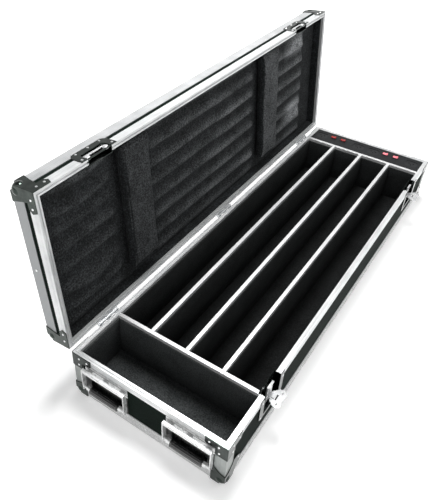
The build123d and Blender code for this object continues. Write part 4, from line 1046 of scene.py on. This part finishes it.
for end, sign in (("near", 1), ("far", -1)):
    for side, y in (("left", sign * handle_left), ("right", sign * handle_right)):
        piece = flute(turned(f"grip_sleeve_{end}_{side}", rings, (0, 0, 0), sides=72))
        piece.location = (-sign * grip_x, y, grip_z)
        smooth(keep_place(piece), 50)
        finish_with(piece, grip_rubber)
        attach(piece, f"handle_{end}_{side}")
        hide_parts(f"handle_grip_{end}_{side}")
print("grips made")

# %% [markdown]
# ## Floor, light and backdrop
# The photograph was cut out on white with a soft shadow. A wide pale plane takes the shadow. A little white
# is added to it for rays that come from the camera or a mirror, so that the floor reads as white, while the
# light on the case stays at a plain level. The backdrop is white at eye level and greyer overhead, which
# gives the bright metal something darker to mirror.

# %% Floor and world


def seen_directly(material):
    """1 for rays that come from the camera, a mirror or glass, and 0 for the light on the case."""
    rays = add(material, 'ShaderNodeLightPath').outputs
    seen = maths(material, 'MAXIMUM', rays['Is Camera Ray'], rays['Is Glossy Ray'])
    return maths(material, 'MAXIMUM', seen, rays['Is Transmission Ray'])


start_clean()
floor_z = cad_box[0][2]
bpy.ops.mesh.primitive_plane_add(size=30.0, location=(0, 0, floor_z))
floor = bpy.context.object
floor.name = "studio_floor"
floor_paint, floor_place = new_material("studio_floor_paint")
matt = add(floor_paint, 'ShaderNodeBsdfDiffuse', {'Color': linear('F6F6F6')})
# the glow grows from 0.85 m outward, where the lamps no longer reach, so that the far floor stays white too
far_off = add(floor_paint, 'ShaderNodeVectorMath', {0: floor_place}, operation='LENGTH').outputs['Value']
strength = add(floor_paint, 'ShaderNodeMapRange', {'Value': far_off, 'From Min': 0.85, 'From Max': 2.4,
                                                   'To Min': 0.35, 'To Max': 1.0}).outputs['Result']
glow = add(floor_paint, 'ShaderNodeEmission', {'Color': linear('FFFFFF'), 'Strength': strength})
dark = add(floor_paint, 'ShaderNodeEmission', {'Color': linear('000000'), 'Strength': 0.0})
extra = add(floor_paint, 'ShaderNodeMixShader', {0: seen_directly(floor_paint), 1: dark.outputs[0],
                                                 2: glow.outputs[0]})
total = add(floor_paint, 'ShaderNodeAddShader', {0: matt.outputs[0], 1: extra.outputs[0]})
add(floor_paint, 'ShaderNodeOutputMaterial', {'Surface': total.outputs[0]})
finish_with(floor, floor_paint)

world = bpy.context.scene.world or bpy.data.worlds.new("studio")
bpy.context.scene.world = world
world.use_nodes = True
world.node_tree.nodes.clear()
aim = add(world, 'ShaderNodeTexCoord').outputs['Generated']
height = add(world, 'ShaderNodeSeparateXYZ', {'Vector': aim}).outputs['Z']
dome = ramp(world, height, [(0.0, 'FFFFFF'), (0.35, 'F4F4F4'), (0.75, '8C8C8C')])
white = add(world, 'ShaderNodeBackground', {'Color': dome, 'Strength': 1.0})
soft = add(world, 'ShaderNodeBackground', {'Color': linear('FFFFFF'), 'Strength': 0.25})
sky = add(world, 'ShaderNodeMixShader', {0: seen_directly(world), 1: soft.outputs[0],
                                         2: white.outputs[0]})
add(world, 'ShaderNodeOutputWorld', {'Surface': sky.outputs[0]})
print("floor at", round(floor_z, 4))

# %% [markdown]
# ## Lamps
# One large soft lamp hangs over the case. Three weaker ones fill from the latch side, from behind the far
# end and from the near end, where the handles are. All are round area lamps, whose size softens the shadows.

# %% Lamps


def softbox(name, place, target, size, power):
    """A round area lamp that looks at its target, with its size in metres and its power in watts."""
    start_clean()
    bpy.ops.object.light_add(type='AREA', location=place)
    lamp = bpy.context.object
    lamp.name = name
    lamp.data.shape = 'DISK'
    lamp.data.size = size
    lamp.data.energy = power
    aim = Vector(target) - Vector(place)
    lamp.rotation_euler = aim.to_track_quat('-Z', 'Y').to_euler()
    return lamp


softbox("key_softbox", (0.35, 0.5, 3.0), (0.0, 0.0, 0.1), 1.2, 84.0)
softbox("front_softbox", (0.6, -2.0, 2.2), (0.0, 0.0, 0.2), 1.6, 17.0)
softbox("back_softbox", (1.9, 1.35, 2.1), (0.0, 0.0, 0.1), 1.6, 8.0)
softbox("end_softbox", (-2.6, -0.5, 1.3), (-0.5, 0.0, 0.1), 1.4, 12.0)
bpy.context.scene.view_settings.view_transform = 'Standard'
print("lamps ready")
